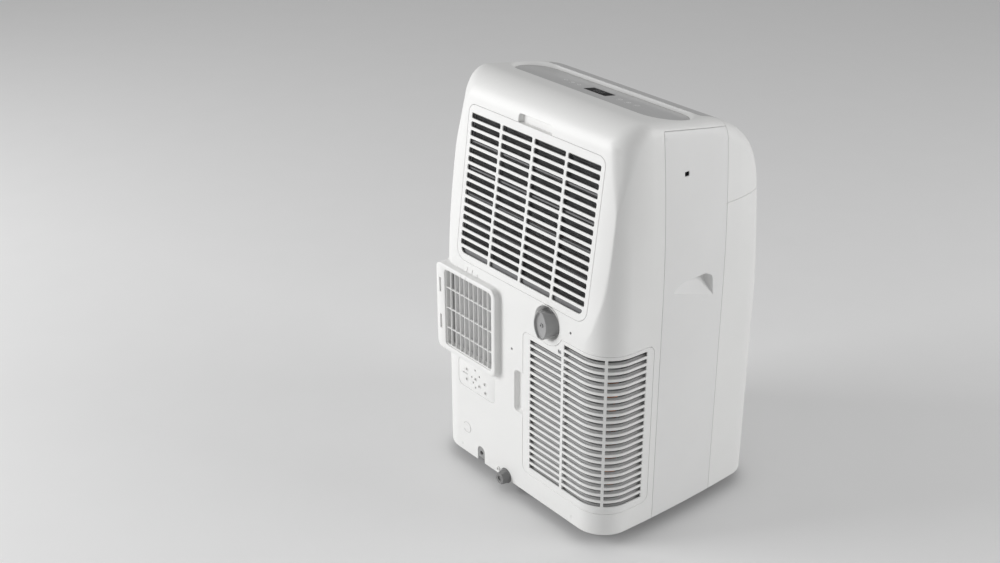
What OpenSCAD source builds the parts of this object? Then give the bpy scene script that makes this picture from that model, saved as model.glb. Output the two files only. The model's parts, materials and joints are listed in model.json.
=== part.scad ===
// Portable air conditioner on four swivel casters.
// Millimetres, +Z up. The modules work in casing coordinates, whose origin is on the floor under the middle
// of the casing: +X and -X are the two sides, +Y is the rear with the exhaust outlet, -Y is the front.
// in_frame() then moves each sub-part so that the whole object is centred on the origin.

/* [Casing] */
// Width over the bowed sides
body_w = 467; // [455:1:480]
// Depth from the front panel to the flat rear face
body_d = 397; // [390:1:405]
// Height of the highest point above the floor
body_h = 765; // [755:1:775]
// Gap between the floor and the bottom edge of the casing
floor_gap = 24; // [22:1:26]
// Wall thickness of the moulded panels
wall = 2.5; // [2:0.1:3]
// Gap seen between neighbouring panels
seam = 0.5; // [0.4:0.1:0.8]
// Radius of the rear corners in plan
rear_corner_r = 60; // [50:1:70]
// Radius of the front corners in plan
front_corner_r = 58; // [50:1:70]
// Lean of the upper rear face from the vertical
rear_lean = 7.2; // [6:0.1:8]
// Fall of the top surface towards the front
top_fall = 9.3; // [8:0.1:10]

/* [Rear grilles] */
// Half width of the upper grille panel
upper_half_w = 172.7; // [165:0.1:175]
// Lower edge of the upper grille panel
upper_bottom_z = 428; // [426:1:432]
// Upper edge of the upper grille panel
upper_top_z = 712; // [708:1:714]
// Rows of slots in the upper grille
upper_rows = 17; // [12:1:17]
// Rows of slots beside the drain knob in the lower grille
lower_rows = 20; // [12:1:20]

/* [Exhaust] */
// How far the outlet frame stands out from the rear face
outlet_proud = 12; // [10:0.5:14]
// Columns in the outlet grid
outlet_cols = 10; // [6:1:12]
// Rows in the outlet grid
outlet_rows = 4; // [3:1:6]

/* [Casters] */
// Radius of a caster wheel
wheel_r = 19; // [18:0.5:20]
// Width of a caster wheel
wheel_w = 16; // [14:1:18]
// Distance of the axle behind the swivel axis
trail = 14; // [12:1:15]

/* [Hidden] */

$fn = 48;
tiny = 0.01;
far = 400;              // reach of a cutting solid past the casing
run_fit = 0.05;         // radial clearance of a shaft in its bore

// Colours
white = [0.93, 0.93, 0.91];
shade_white = [0.87, 0.87, 0.86];
panel_grey = [0.70, 0.70, 0.70];
dark_grey = [0.42, 0.42, 0.43];
knob_grey = [0.56, 0.56, 0.56];
black = [0.06, 0.06, 0.07];
steel = [0.62, 0.64, 0.66];
copper = [0.75, 0.45, 0.30];

half_w = body_w / 2;
rear_y = body_d / 2;
front_y = -body_d / 2;
side_bow_r = 2600;      // plan radius of the bowed sides
front_bow_r = 1900;     // plan radius of the bowed front
side_taper_r = 2600;    // radius by which the sides lean in towards the top
side_taper_z = 597;     // middle height of that curve
side_taper = 6.4;       // lean of the sides at the top
peak_y = 102;           // where the top surface would reach the full height
lean_z = 399.6;         // height at which the rear face starts to lean
bottom_r = 5;
top_edge_r = 22;        // rounding between the sides and the top
crest_r = 52;           // rounding between the rear face and the top

// Reach of the drain knob and the drain plug, which stand out furthest behind the casing
rear_reach = 16;
face_y = rear_y + rear_reach;

seam_rear_y = 77;       // joint between the rear shell and the side panels
seam_front_y = -68;     // joint between the side panels and the front
seam_front_z = 592;     // joint between the front panel and the outlet surround
side_top_drop = 13;     // top edge of a side panel, below the top surface

// ---- Frame and outlines -------------------------------------------------------------------------

// Moves a sub-part from casing coordinates to the object's frame
module in_frame() translate([0, -rear_reach / 2, 0]) children();

function unit(v) = v / norm(v);
function heading(v) = atan2(v[1], v[0]);

// Arc of radius r - inset that rounds the corner b of a counter-clockwise outline
function fillet(a, b, c, r, inset) =
    let (u = unit(a - b), v = unit(c - b), half = acos(u * v) / 2, turn = 180 - 2 * half,
         centre = b + unit(u + v) * (r / sin(half)), start = heading(b + u * (r / tan(half)) - centre),
         steps = max(4, 2 * ceil(turn / 12)))
    [for (i = [0:steps]) let (a = start + turn * i / steps) centre + (r - inset) * [cos(a), sin(a)]];

// Rounded outline through corners given as [x, y, radius], moved inwards by inset
function outline(corners, inset) =
    let (n = len(corners), p = [for (c = corners) [c[0], c[1]]])
    [for (i = [0:n - 1]) each fillet(p[(i + n - 1) % n], p[i], p[(i + 1) % n], corners[i][2], inset)];

function top_z(y) = body_h - (peak_y - y) * tan(top_fall);
function lean_y(z) = rear_y - (z - lean_z) * tan(rear_lean);

// Height where the leaning rear face and the top surface meet
function crest_z() =
    (top_z(0) + tan(top_fall) * lean_y(0)) / (1 + tan(top_fall) * tan(rear_lean));

bow_half = asin((rear_y - rear_corner_r - 9) / side_bow_r);
bow_apex = half_w + side_bow_r * (1 / cos(bow_half) - 1);
function bow_x(y) = bow_apex - abs(y) * tan(bow_half);
front_bow = asin((half_w - 14 - front_corner_r) / front_bow_r);
front_apex = front_y - front_bow_r * (1 / cos(front_bow) - 1);
front_corner_y = front_apex + (half_w - 8) * tan(front_bow);

plan_corners = [
    [bow_x(rear_y), rear_y, rear_corner_r], [-bow_x(rear_y), rear_y, rear_corner_r],
    [-bow_apex, 0, side_bow_r], [-bow_x(front_corner_y), front_corner_y, front_corner_r],
    [0, front_apex, front_bow_r], [bow_x(front_corner_y), front_corner_y, front_corner_r],
    [bow_apex, 0, side_bow_r]];

top_half_w = half_w - (body_h - side_taper_z) * tan(side_taper);
front_view_corners = [
    [half_w, floor_gap, bottom_r], [half_w, side_taper_z, side_taper_r],
    [top_half_w, body_h + 2, top_edge_r], [-top_half_w, body_h + 2, top_edge_r],
    [-half_w, side_taper_z, side_taper_r], [-half_w, floor_gap, bottom_r]];

side_view_corners = [
    [rear_y, floor_gap, bottom_r], [rear_y, lean_z, 150], [lean_y(crest_z()), crest_z(), crest_r],
    [front_y, top_z(front_y), 211], [front_y, 220, 500], [front_y + 8, floor_gap, bottom_r]];

// Solid casing shape, moved inwards by inset: plan, front view and side view intersected
module casing(inset = 0) {
    intersection() {
        linear_extrude(body_h + 20) polygon(outline(plan_corners, inset));
        rotate([90, 0, 0]) linear_extrude(2 * far, center = true)
            polygon(outline(front_view_corners, inset));
        along_x(-far, far) polygon(outline(side_view_corners, inset));
    }
}

// Extrudes a (Y, Z) outline along X
module along_x(x0, x1) translate([x0, 0, 0]) rotate([90, 0, 90]) linear_extrude(x1 - x0) children();

// Extrudes an (X, Z) outline along Y
module along_y(y0, y1) translate([0, y1, 0]) rotate([90, 0, 0]) linear_extrude(y1 - y0) children();

module block(lo, hi) translate(lo) cube(hi - lo);

// Flat outline with true round corners
module rounded_rect(x0, z0, x1, z1, r) {
    translate([x0 + r, z0]) square([x1 - x0 - 2 * r, z1 - z0]);
    translate([x0, z0 + r]) square([x1 - x0, z1 - z0 - 2 * r]);
    for (x = [x0 + r, x1 - r], z = [z0 + r, z1 - r]) translate([x, z]) circle(r);
}

// Round bar along +Y, +X or +Z from a point
module rod_y(p, r, length) translate(p) rotate([-90, 0, 0]) cylinder(h = length, r = r);
module rod_x(p, r, length) translate(p) rotate([0, 90, 0]) cylinder(h = length, r = r);
module rod_z(p, r, length) translate(p) cylinder(h = length, r = r);

// Moulded skin of the casing, open underneath for the base tray
module skin() {
    difference() {
        casing();
        casing(wall);
        translate([0, 0, -1]) linear_extrude(61) polygon(outline(plan_corners, wall));
    }
}

// Space on one side (+1 or -1) that the side panel fills, less a margin
module side_zone(side, margin) {
    y0 = seam_front_y + margin;
    y1 = seam_rear_y - margin;
    drop = side_top_drop + margin;
    reach = side > 0 ? [190, far] : [-far, -190];
    along_x(reach[0], reach[1])
        polygon([[y0, -1], [y1, -1], [y1, top_z(y1) - drop], [y0, top_z(y0) - drop]]);
}

// Space in front of the side panels, between two heights
module front_zone(z0, z1) block([-far, -far, z0], [far, seam_front_y - seam / 2, z1]);

// ---- Rear openings ------------------------------------------------------------------------------

upper_r = 16;
upper_pitch = 15.35;
upper_first_z = 691.8;
upper_slot_h = 9.5;
upper_slot_w = 76.5;
upper_col_pitch = 83.2;
notch_half_w = 42;      // finger notch in the shell, above the grille
notch_h = 16;
notch_depth = 12;

module upper_outline(margin) {
    rounded_rect(-upper_half_w + margin, upper_bottom_z + margin,
                 upper_half_w - margin, upper_top_z - margin, upper_r - margin);
}

lower_left_x = -19;
lower_bottom_z = 67;
lower_step_z = 356;     // top edge beside the knob
lower_top_z = 380;      // top edge round the corner
lower_right_y = 91;
lower_r = 14;
lower_pitch = 13.47;
lower_first_z = 85.9;
lower_slot_h = 8.4;
lower_mullion_x = -122; // thin bar between the first two columns
corner_mullion = 42.5;  // turn of the bar on the corner, from the rear face
knob_x = -81.5;
knob_z = 396.5;
socket_r = 33;

// Prism that cuts out the lower grille: seen from behind, and stopped at its edge on the side
module lower_zone(margin) {
    intersection() {
        along_y(seam_rear_y, far) difference() {
            union() {
                rounded_rect(-far, lower_bottom_z + margin,
                             lower_left_x - margin, lower_step_z - margin, lower_r);
                rounded_rect(-far, lower_bottom_z + margin,
                             knob_x - margin, lower_top_z - margin, lower_r / 2);
            }
            translate([knob_x, knob_z]) circle(socket_r + 8 + margin);
        }
        along_x(-far, 0)
            rounded_rect(lower_right_y + margin, lower_bottom_z + margin,
                         far, lower_top_z - margin, lower_r);
    }
}

outlet_x0 = 55;
outlet_x1 = 190;
outlet_z0 = 244.5;
outlet_z1 = 401;
outlet_rim_x0 = 44.5;
outlet_rim_x1 = 217;
outlet_rim_z0 = 233;
outlet_rim_z1 = 410;
outlet_rim_r = 16;
window_r = 8;           // corners of the outlet's window
collar = 3.5;           // width of the outlet's collar inside the shell's opening
part_gap = 0.3;         // gap round a part that sits in an opening

holder_x0 = 60;
holder_x1 = 167;
holder_z0 = 168;
holder_z1 = 228;
holder_r = 12;

spout_x = 28;
spout_z = 30;
spout_r = 7;
spout_length = 40;      // from its flange on the base tray to the rear face
plug_r = 14.5;

notch_x = 102;
notch_w = 20;
notch_top_z = 55.7;

pocket_x0 = -18.4;
pocket_x1 = 4;
pocket_z0 = 184.6;
pocket_z1 = 269.4;
pocket_depth = 9;

// Centres of the two case screws on the rear face
rear_screws = [[11.5, 307], [-140.7, 401.5]];
screw_hole_r = 2.4;

// Space of the finger notch, square to the leaning rear face and grown by grow
module finger_notch(grow) on_rear_face(-3) translate([-notch_half_w - grow, upper_face_h - 4, 0])
    cube([2 * (notch_half_w + grow), notch_h + 4 + grow, notch_depth + 3 + grow]);

module rear_openings() {
    along_y(100, far) {
        upper_outline(0);
        rounded_rect(outlet_x0 - 4, outlet_z0 - 4, outlet_x1 + 4, outlet_z1 + 4, window_r + 2);
        rounded_rect(holder_x0, holder_z0, holder_x1, holder_z1, holder_r);
        rounded_rect(pocket_x0, pocket_z0, pocket_x1, pocket_z1, 8);
    }
    rod_y([knob_x, rear_y - 30, knob_z], socket_r, 60);
    rod_y([spout_x, rear_y - 30, spout_z], plug_r + 1.5, 60);
    block([spout_x - plug_r - 1.5, rear_y - 30, 0], [spout_x + plug_r + 1.5, far, spout_z]);
    rod_y([notch_x, rear_y - 30, notch_top_z - notch_w / 2], notch_w / 2, 60);
    block([notch_x - notch_w / 2, rear_y - 30, 0],
          [notch_x + notch_w / 2, far, notch_top_z - notch_w / 2]);
    for (s = rear_screws) rod_y([s[0], rear_y - 30, s[1]], screw_hole_r, 60);
    finger_notch(0);
    lower_zone(0);
}

// ---- Front louvre geometry ----------------------------------------------------------------------

louvre_half_w = 189;
louvre_rear_y = -34;
louvre_front_y = -150;
louvre_gap = 1.2;
louvre_axis = [-48, 734.5];
louvre_pin_r = 2;

module louvre_zone(margin) {
    block([-louvre_half_w - margin, louvre_front_y - margin, 640],
          [louvre_half_w + margin, louvre_rear_y + margin, far * 2]);
}

// Control panel recess in the top: a long plate with round ends, on the falling top surface
panel_rear_y = 62;
panel_front_y = -29;
panel_half_w = 196;
panel_drop = 6;         // depth of the panel's surface below the top
panel_ledge = 8.7;      // depth of the ledge that carries it

module panel_outline(margin) {
    mid = (panel_rear_y + panel_front_y) / 2;
    r = (panel_rear_y - panel_front_y) / 2 - margin;
    translate([-panel_half_w + margin + r, mid - r]) square([2 * (panel_half_w - margin - r), 2 * r]);
    for (x = [-1, 1]) translate([x * (panel_half_w - margin - r), mid]) circle(r);
}

// Stands an outline on the top surface, from depth d1 up to depth d0 beneath it
module on_top(d0, d1) {
    translate([0, 0, top_z(0)]) rotate([top_fall, 0, 0]) translate([0, 0, -d1])
        linear_extrude(d1 - d0) children();
}

// ---- Casing parts -------------------------------------------------------------------------------

module rear_shell() in_frame() color(white) {
    difference() {
        union() {
            difference() {
                skin();
                for (side = [-1, 1]) side_zone(side, -seam / 2);
                block([-far, -far, -1], [far, seam_front_y + seam / 2, far * 2]);
                rear_openings();
            }
            // tub of the thumb pocket, open towards the lower grille
            difference() {
                along_y(rear_y - pocket_depth - wall, rear_y - wall / 2)
                    rounded_rect(pocket_x0, pocket_z0 - wall, pocket_x1 + wall, pocket_z1 + wall, 8);
                along_y(rear_y - pocket_depth, rear_y)
                    rounded_rect(pocket_x0 - 20, pocket_z0, pocket_x1, pocket_z1, 6);
            }
            // tub of the finger notch above the upper grille
            difference() {
                intersection() {
                    casing(wall / 2);
                    finger_notch(wall);
                    block([-far, 0, upper_top_z], [far, far, 2 * far]);
                }
                finger_notch(0);
            }
            // bosses that carry the louvre's pins
            for (side = [-1, 1]) intersection() {
                casing(wall / 2);
                translate([side * (louvre_half_w + 5), louvre_axis[0], louvre_axis[1] - 1])
                    cube([7, 14, 12], true);
            }
        }
        louvre_zone(louvre_gap);
        on_top(-30, 40) panel_outline(0);
        rod_x([-louvre_half_w - 7, louvre_axis[0], louvre_axis[1]],
              louvre_pin_r + run_fit, 2 * louvre_half_w + 14);
    }
    // wall and ledge of the recess that the control panel sits in
    difference() {
        on_top(1, panel_ledge + 2.5) panel_outline(-2.5);
        on_top(0, panel_ledge) panel_outline(0);
        on_top(0, 20) panel_outline(8);
    }
}

handle_y0 = -40;
handle_y1 = 52;
handle_z0 = 428;
handle_z1 = 478;
handle_depth = 26;

// Solid round the finger recess of a side panel, grown by grow: a ramp that runs out at the bottom
module handle_pocket(side, grow) {
    reach = half_w + 5;
    inner = half_w - handle_depth;
    corners = [[reach, handle_z0 - grow], [reach, handle_z1 + grow],
               [inner - grow, handle_z1 + grow], [inner - grow, handle_z1 - 14 - grow]];
    translate([0, handle_y1 + grow, 0]) rotate([90, 0, 0])
        linear_extrude(handle_y1 - handle_y0 + 2 * grow)
            polygon([for (p = corners) [p[0] * side, p[1]]]);
}

module side_panel(side) {
    difference() {
        union() {
            intersection() {
                skin();
                side_zone(side, seam / 2);
            }
            intersection() {
                casing(wall / 2);
                handle_pocket(side, wall);
            }
        }
        handle_pocket(side, 0);
        if (side < 0) block([-far, sensor_y - 5, sensor_z - 4], [0, sensor_y + 5, sensor_z + 4]);
    }
}

module side_panel_left() in_frame() color(shade_white) side_panel(-1);
module side_panel_right() in_frame() color(shade_white) side_panel(1);

module front_panel() in_frame() color(white) intersection() {
    skin();
    front_zone(-1, seam_front_z - seam / 2);
}

module outlet_surround() in_frame() color(white) difference() {
    intersection() {
        skin();
        front_zone(seam_front_z + seam / 2, 2 * far);
    }
    louvre_zone(louvre_gap);
}

caster_x = 168;
caster_y = 134;
well_r = 38;
well_z = 56;            // underside of the roof of a caster well
tray_z = 27.5;          // underside of the base tray
tray_floor = 3;
tray_rim_z = 59;
stem_r = 4;
stem_top_z = 68;
casters = [[caster_x, caster_y], [-caster_x, caster_y], [caster_x, -caster_y], [-caster_x, -caster_y]];

module base_tray() in_frame() color(dark_grey) {
    difference() {
        union() {
            difference() {
                intersection() {
                    casing(wall + 0.3);
                    block([-far, -far, tray_z], [far, far, tray_rim_z]);
                }
                intersection() {
                    casing(wall + 3);
                    block([-far, -far, tray_z + tray_floor], [far, far, tray_rim_z + 1]);
                }
            }
            for (c = casters) {
                rod_z([c[0], c[1], tray_z], well_r + 2.5, well_z + 3 - tray_z);
                rod_z([c[0], c[1], well_z], 9, stem_top_z - well_z);
            }
        }
        for (c = casters) {
            rod_z([c[0], c[1], 0], well_r, well_z);
            rod_z([c[0], c[1], well_z - 1], stem_r + run_fit, 40);
        }
        rod_y([spout_x, rear_y - spout_length, spout_z], plug_r + 1.5, 80);
        block([notch_x - notch_w / 2 - 0.5, rear_y - 20, tray_z + tray_floor],
              [notch_x + notch_w / 2 + 0.5, far, tray_rim_z + 1]);
    }
}

display_w = 54;
display_d = 26;
display_y = 14;

module control_panel() in_frame() color(panel_grey) difference() {
    on_top(panel_drop, panel_ledge - 0.2) panel_outline(0.4);
    on_top(0, 20) translate([-display_w / 2, display_y - display_d / 2]) square([display_w, display_d]);
}

module display_lens() in_frame() color(black)
    on_top(panel_drop, panel_drop + 4) translate([0.2 - display_w / 2, 0.2 + display_y - display_d / 2])
        square([display_w - 0.4, display_d - 0.4]);

module control_board() in_frame() color([0.10, 0.35, 0.18]) {
    on_top(16, 17.6) translate([-130, -18]) square([260, 64]);
    on_top(10.2, 16.2) for (x = [-84, -56, 50, 76, 102]) translate([x, 8]) square([9, 9]);
}

sensor_y = 29;
sensor_z = 668;

module sensor_window() in_frame() color(black) intersection() {
    casing(0.6);
    block([-far, sensor_y - 4.8, sensor_z - 3.8], [-half_w + 14, sensor_y + 4.8, sensor_z + 3.8]);
}

// ---- Exhaust outlet -----------------------------------------------------------------------------

module exhaust_outlet() in_frame() color(white) difference() {
    union() {
        difference() {
            along_y(rear_y - 40, rear_y + outlet_proud)
                rounded_rect(outlet_rim_x0, outlet_rim_z0, outlet_rim_x1, outlet_rim_z1, outlet_rim_r);
            casing(-0.3);
        }
        along_y(rear_y - 12, rear_y + 5)
            rounded_rect(outlet_x0 - collar, outlet_z0 - collar, outlet_x1 + collar, outlet_z1 + collar,
                         window_r + 1.5);
    }
    along_y(0, far) rounded_rect(outlet_x0, outlet_z0, outlet_x1, outlet_z1, window_r);
    // catch slots for the hose adaptor in the side of the rim
    for (z = [outlet_z0 + 30, outlet_z1 - 52])
        block([outlet_rim_x1 - 3, rear_y - 2, z], [far, rear_y + outlet_proud - 3, z + 30]);
}

grid_bar = 1.6;

module exhaust_grid() in_frame() color(white) {
    w = outlet_x1 - outlet_x0 - 2 * part_gap;
    h = outlet_z1 - outlet_z0 - 2 * part_gap;
    x0 = outlet_x0 + part_gap;
    z0 = outlet_z0 + part_gap;
    col_pitch = (w - grid_bar) / outlet_cols;
    row_pitch = (h - grid_bar) / outlet_rows;
    along_y(rear_y + 5, rear_y + 9) difference() {
        rounded_rect(x0, z0, x0 + w, z0 + h, window_r - part_gap);
        for (i = [0:outlet_cols - 1], j = [0:outlet_rows - 1])
            translate([x0 + grid_bar + i * col_pitch, z0 + grid_bar + j * row_pitch])
                square([col_pitch - grid_bar, row_pitch - grid_bar]);
    }
}

module exhaust_screen() in_frame() color(panel_grey)
    along_y(rear_y - 6, rear_y - 5)
        rounded_rect(outlet_x0 + part_gap, outlet_z0 + part_gap,
                     outlet_x1 - part_gap, outlet_z1 - part_gap, window_r - part_gap);

// Pin holes of the parking place for the mains plug: [x, z, radius]
holder_holes = [
    for (i = [0:2]) [142 - 26 * i, 207 - 2 * i, 2.6],
    for (i = [0:3]) [143 - 18 * i, 186, 2.4],
    [116.5, 196.8, 2.4], [89, 197, 2.6], [88, 179.5, 2.6]];

module plug_holder() in_frame() color(white) difference() {
    along_y(rear_y - 6, rear_y - 0.4)
        rounded_rect(holder_x0 + part_gap, holder_z0 + part_gap, holder_x1 - part_gap,
                     holder_z1 - part_gap, holder_r - part_gap);
    for (h = holder_holes) rod_y([h[0], rear_y - 5, h[1]], h[2], 20);
}

// ---- Drains and small rear parts ----------------------------------------------------------------

socket_depth = 20;
knob_disc_r = 24;
knob_hub_r = 9;

module drain_socket() in_frame() color(white) difference() {
    rod_y([knob_x, rear_y - socket_depth - 3, knob_z], socket_r - 0.3, socket_depth + 3);
    // dished wall that narrows towards the floor of the socket
    translate([knob_x, rear_y - socket_depth, knob_z]) rotate([-90, 0, 0])
        cylinder(h = socket_depth + tiny, r1 = knob_disc_r + 1.5, r2 = socket_r - 2);
    rod_y([knob_x, rear_y - socket_depth - 10, knob_z], knob_hub_r + run_fit, 20);
    along_y(0, far) upper_outline(-seam);
}

knob_face_y = face_y;
knob_grip_r = 31.5;     // radius of each side of the spindle-shaped grip
knob_grip_half = 15.5;  // half of the grip's width

module grip_outline(grow) intersection_for (s = [-1, 1])
    translate([knob_x + s * (knob_grip_r - knob_grip_half), knob_z]) circle(knob_grip_r + grow, $fn = 96);

module drain_knob() in_frame() color(knob_grey) {
    difference() {
        union() {
            rod_y([knob_x, rear_y - 14, knob_z], knob_disc_r, 16);
            along_y(rear_y, knob_face_y) grip_outline(0);
        }
        along_y(knob_face_y - 5, knob_face_y + 1) grip_outline(-3);
    }
    rod_y([knob_x, knob_face_y - 6, knob_z], 4, 5);
    rod_y([knob_x, rear_y - socket_depth - 8, knob_z], knob_hub_r, socket_depth);
}

module drain_spout() in_frame() color(dark_grey) difference() {
    union() {
        rod_y([spout_x, rear_y - spout_length, spout_z], spout_r, spout_length + 9);
        rod_y([spout_x, rear_y - spout_length, spout_z], spout_r + 3, 3);
    }
    rod_y([spout_x, rear_y - spout_length - 1, spout_z], spout_r - 2, 60);
}

module drain_plug() in_frame() color(knob_grey) difference() {
    translate([spout_x, rear_y - 1, spout_z]) rotate([-90, 0, 0])
        cylinder(h = rear_reach + 1, r1 = plug_r, r2 = plug_r - 3.5);
    rod_y([spout_x, rear_y - 2, spout_z], spout_r + run_fit, 12.5);
    rod_y([spout_x, face_y - 3, spout_z], 4.5, 10);
}

// Small loop that ties the rubber plug to the casing
module plug_tether() in_frame() color(white) {
    difference() {
        rod_y([spout_x + 22, rear_y + 0.3, 36], 5, 3);
        rod_y([spout_x + 22, rear_y - 1, 36], 2.6, 8);
    }
}

module cord_grommet() in_frame() color(dark_grey) difference() {
    union() {
        rod_y([notch_x, rear_y - 14, notch_top_z - notch_w / 2], notch_w / 2 - 0.4, 13);
        block([notch_x - notch_w / 2 + 0.4, rear_y - 14, tray_z + tray_floor + part_gap],
              [notch_x + notch_w / 2 - 0.4, rear_y - 1, notch_top_z - notch_w / 2]);
    }
    rod_y([notch_x, rear_y - 20, 42], 4.2, 40);
}

module screw_y(x, z, y) {
    rod_y([x, y - 12, z], 1.5, 10);
    rod_y([x, y - 3.5, z], 2.2, 2);
}

module case_screws() in_frame() color(steel) for (s = rear_screws) screw_y(s[0], s[1], rear_y);

// ---- Opening rear grilles -----------------------------------------------------------------------

// The upper grille is drawn on the leaning rear face
module upper_grille() in_frame() color(white) difference() {
    intersection() {
        difference() {
            casing();
            casing(wall);
        }
        along_y(100, far) upper_outline(seam);
    }
    along_y(100, far) for (row = [0:upper_rows - 1], col = [-1.5:1:1.5]) {
        z = upper_first_z - row * upper_pitch;
        x = col * upper_col_pitch;
        r = upper_slot_h / 2 - 0.6;
        translate([x, z]) rounded_rect(-upper_slot_w / 2, -upper_slot_h / 2,
                                       upper_slot_w / 2, upper_slot_h / 2, r);
    }
}

// Places children on the leaning rear face, depth beneath it: their X is X and their Y climbs the face
module on_rear_face(depth) {
    translate([0, lean_y(upper_bottom_z), upper_bottom_z]) rotate([90 + rear_lean, 0, 0])
        translate([0, 0, depth]) children();
}

upper_face_h = (upper_top_z - upper_bottom_z) / cos(rear_lean);

module upper_filter() in_frame() color(panel_grey) on_rear_face(5) difference() {
    translate([-164, 8, 0]) cube([328, upper_face_h - 22, 4]);
    for (i = [0:3], j = [0:4])
        translate([-160 + 81 * i, 12 + 52 * j, -1]) cube([77, 48, 6]);
}

// Vertical planes that bound a column of the lower grille: the rear flat, and the two halves of the corner
module corner_wedge(a0, a1) {
    c = [-bow_x(rear_y) + rear_corner_r, rear_y - rear_corner_r];
    linear_extrude(lower_top_z)
        polygon([c, for (a = [a0, (a0 + a1) / 2, a1]) c + 150 * [-sin(a), cos(a)]]);
}

lower_margin_x = 18;
lower_end_y = 107;

module lower_slots() {
    half = lower_slot_h / 2;
    for (row = [0:lower_rows + 1]) {
        z = lower_first_z + row * lower_pitch;
        if (row < lower_rows)
            block([lower_mullion_x + 2, 150, z - half], [lower_left_x - lower_margin_x, far, z + half]);
        difference() {
            block([-far, lower_end_y, z - half], [lower_mullion_x - 2, far, z + half]);
            corner_wedge(corner_mullion - 4, corner_mullion + 4);
        }
    }
}

module lower_grille() in_frame() color(white) difference() {
    intersection() {
        skin();
        lower_zone(seam);
    }
    intersection() {
        lower_slots();
        along_x(-far, 0) square([far, 2 * far]);
    }
    rod_y([grille_screw_x, rear_y - 5, grille_screw_z], screw_hole_r, 20);
}

grille_screw_x = -114.5;
grille_screw_z = 355.2;

module grille_screw() in_frame() color(steel) screw_y(grille_screw_x, grille_screw_z, rear_y);

filter_gap = 6;

module lower_filter() in_frame() color(panel_grey) difference() {
    intersection() {
        difference() {
            casing(filter_gap);
            casing(filter_gap + 2);
        }
        block([-far, lower_end_y - 4, lower_first_z - 8], [lower_left_x - 14, far, lower_step_z - 6]);
    }
    for (row = [0:4]) difference() {
        translate([-far, lower_end_y, lower_first_z + row * 53]) cube([far + lower_left_x - 20, far, 48]);
        translate([lower_mullion_x - 3, 0, 0]) cube([6, far, far]);
        corner_wedge(corner_mullion - 5, corner_mullion + 5);
    }
}

// ---- Front louvre and vanes ---------------------------------------------------------------------

module louvre() in_frame() color(panel_grey) {
    intersection() {
        difference() {
            casing(0.2);
            casing(3.2);
        }
        louvre_zone(0);
    }
    for (side = [-1, 1]) {
        translate([side * (louvre_half_w - 4), louvre_axis[0], louvre_axis[1]]) rotate([0, 90, 0])
            cylinder(h = 5, r = 2.4, center = true);
        rod_x([side > 0 ? louvre_half_w - 6 : -louvre_half_w - 5.5, louvre_axis[0], louvre_axis[1]],
              louvre_pin_r, 11.5);
    }
}

duct_half_w = 168;
duct_floor_z = 642;
vane_y = -10;
vane_crank = 24;
vane_count = 4;
vane_pitch = 80;
vane_pin_r = 2;
function vane_x(i) = (i - (vane_count + 1) / 2) * vane_pitch;

// Air way from the fan to the louvre
module outlet_duct() in_frame() color(shade_white) {
    difference() {
        along_x(-duct_half_w, duct_half_w)
            polygon([[-62, duct_floor_z], [78, duct_floor_z], [78, 662], [-20, 722], [-30, 722],
                     [-138, 672], [-138, 666]]);
        along_x(-duct_half_w + 2.5, duct_half_w - 2.5)
            polygon([[-61, duct_floor_z + 4], [75, duct_floor_z + 4], [75, 660], [-21, 718.5],
                     [-40, 740], [-160, 690], [-142, 669.5]]);
        block([-60, 10, duct_floor_z - 1], [100, 70, duct_floor_z + 6]);
        for (i = [1:vane_count]) rod_z([vane_x(i), vane_y, duct_floor_z - 1], vane_pin_r + run_fit, 20);
    }
    difference() {
        block([-duct_half_w + 2, vane_y - 4, 699], [duct_half_w - 2, vane_y + 4, 703]);
        for (i = [1:vane_count]) rod_z([vane_x(i), vane_y, 690], vane_pin_r + run_fit, 20);
    }
}

module vane(i) {
    x = vane_x(i);
    block([x - 0.9, vane_y - 30, 648], [x + 0.9, vane_y + 8, 695]);
    rod_z([x, vane_y, duct_floor_z + 0.5], vane_pin_r, 60);
    rod_z([x, vane_y - vane_crank, 690], vane_pin_r, 9.5);
}

module vane_1() in_frame() color(dark_grey) vane(1);
module vane_2() in_frame() color(dark_grey) vane(2);
module vane_3() in_frame() color(dark_grey) vane(3);
module vane_4() in_frame() color(dark_grey) vane(4);

module vane_link() in_frame() color(dark_grey) difference() {
    block([vane_x(1) - 6, vane_y - vane_crank - 4, 696],
          [vane_x(vane_count) + 6, vane_y - vane_crank + 4, 699]);
    for (i = [1:vane_count]) rod_z([vane_x(i), vane_y - vane_crank, 690], vane_pin_r + run_fit, 20);
}

// ---- Fans ---------------------------------------------------------------------------------------

cold_fan_z = 532;
cold_fan_r = 82;
cold_fan_y = 12;
cold_fan_w = 52;
cold_scroll_r = 108;
hot_fan = [70, 40, 290];
hot_fan_r = 78;
hot_fan_w = 84;
hot_scroll_r = 108;
blades = 24;
shaft_r = 5;

// Drum fan along +Z from the origin: back plate, ring, blades and a bored hub
module drum_fan(r, w) {
    difference() {
        union() {
            cylinder(h = 2.5, r = r);
            cylinder(h = w * 0.6, r = 14);
            for (i = [0:blades - 1]) rotate(i * 360 / blades) translate([r - 3, 0, 1]) rotate(35)
                translate([-20, -0.8, 0]) cube([20, 1.6, w - 2]);
        }
        translate([0, 0, -1]) cylinder(h = w + 2, r = shaft_r);
    }
    translate([0, 0, w - 4]) difference() {
        cylinder(h = 4, r = r);
        translate([0, 0, -1]) cylinder(h = 6, r = r - 8);
    }
}

// Fan housing along +Z: a round drum with a straight outlet from its +X side towards +Y
module scroll_outline(r, length, x0, grow) {
    circle(r + grow);
    translate([x0 - grow, 0]) square([r - x0 + 2 * grow, length]);
}

module evaporator_fan() in_frame() color(dark_grey)
    translate([0, cold_fan_y, cold_fan_z]) rotate([-90, 0, 0]) drum_fan(cold_fan_r, cold_fan_w);

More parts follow.
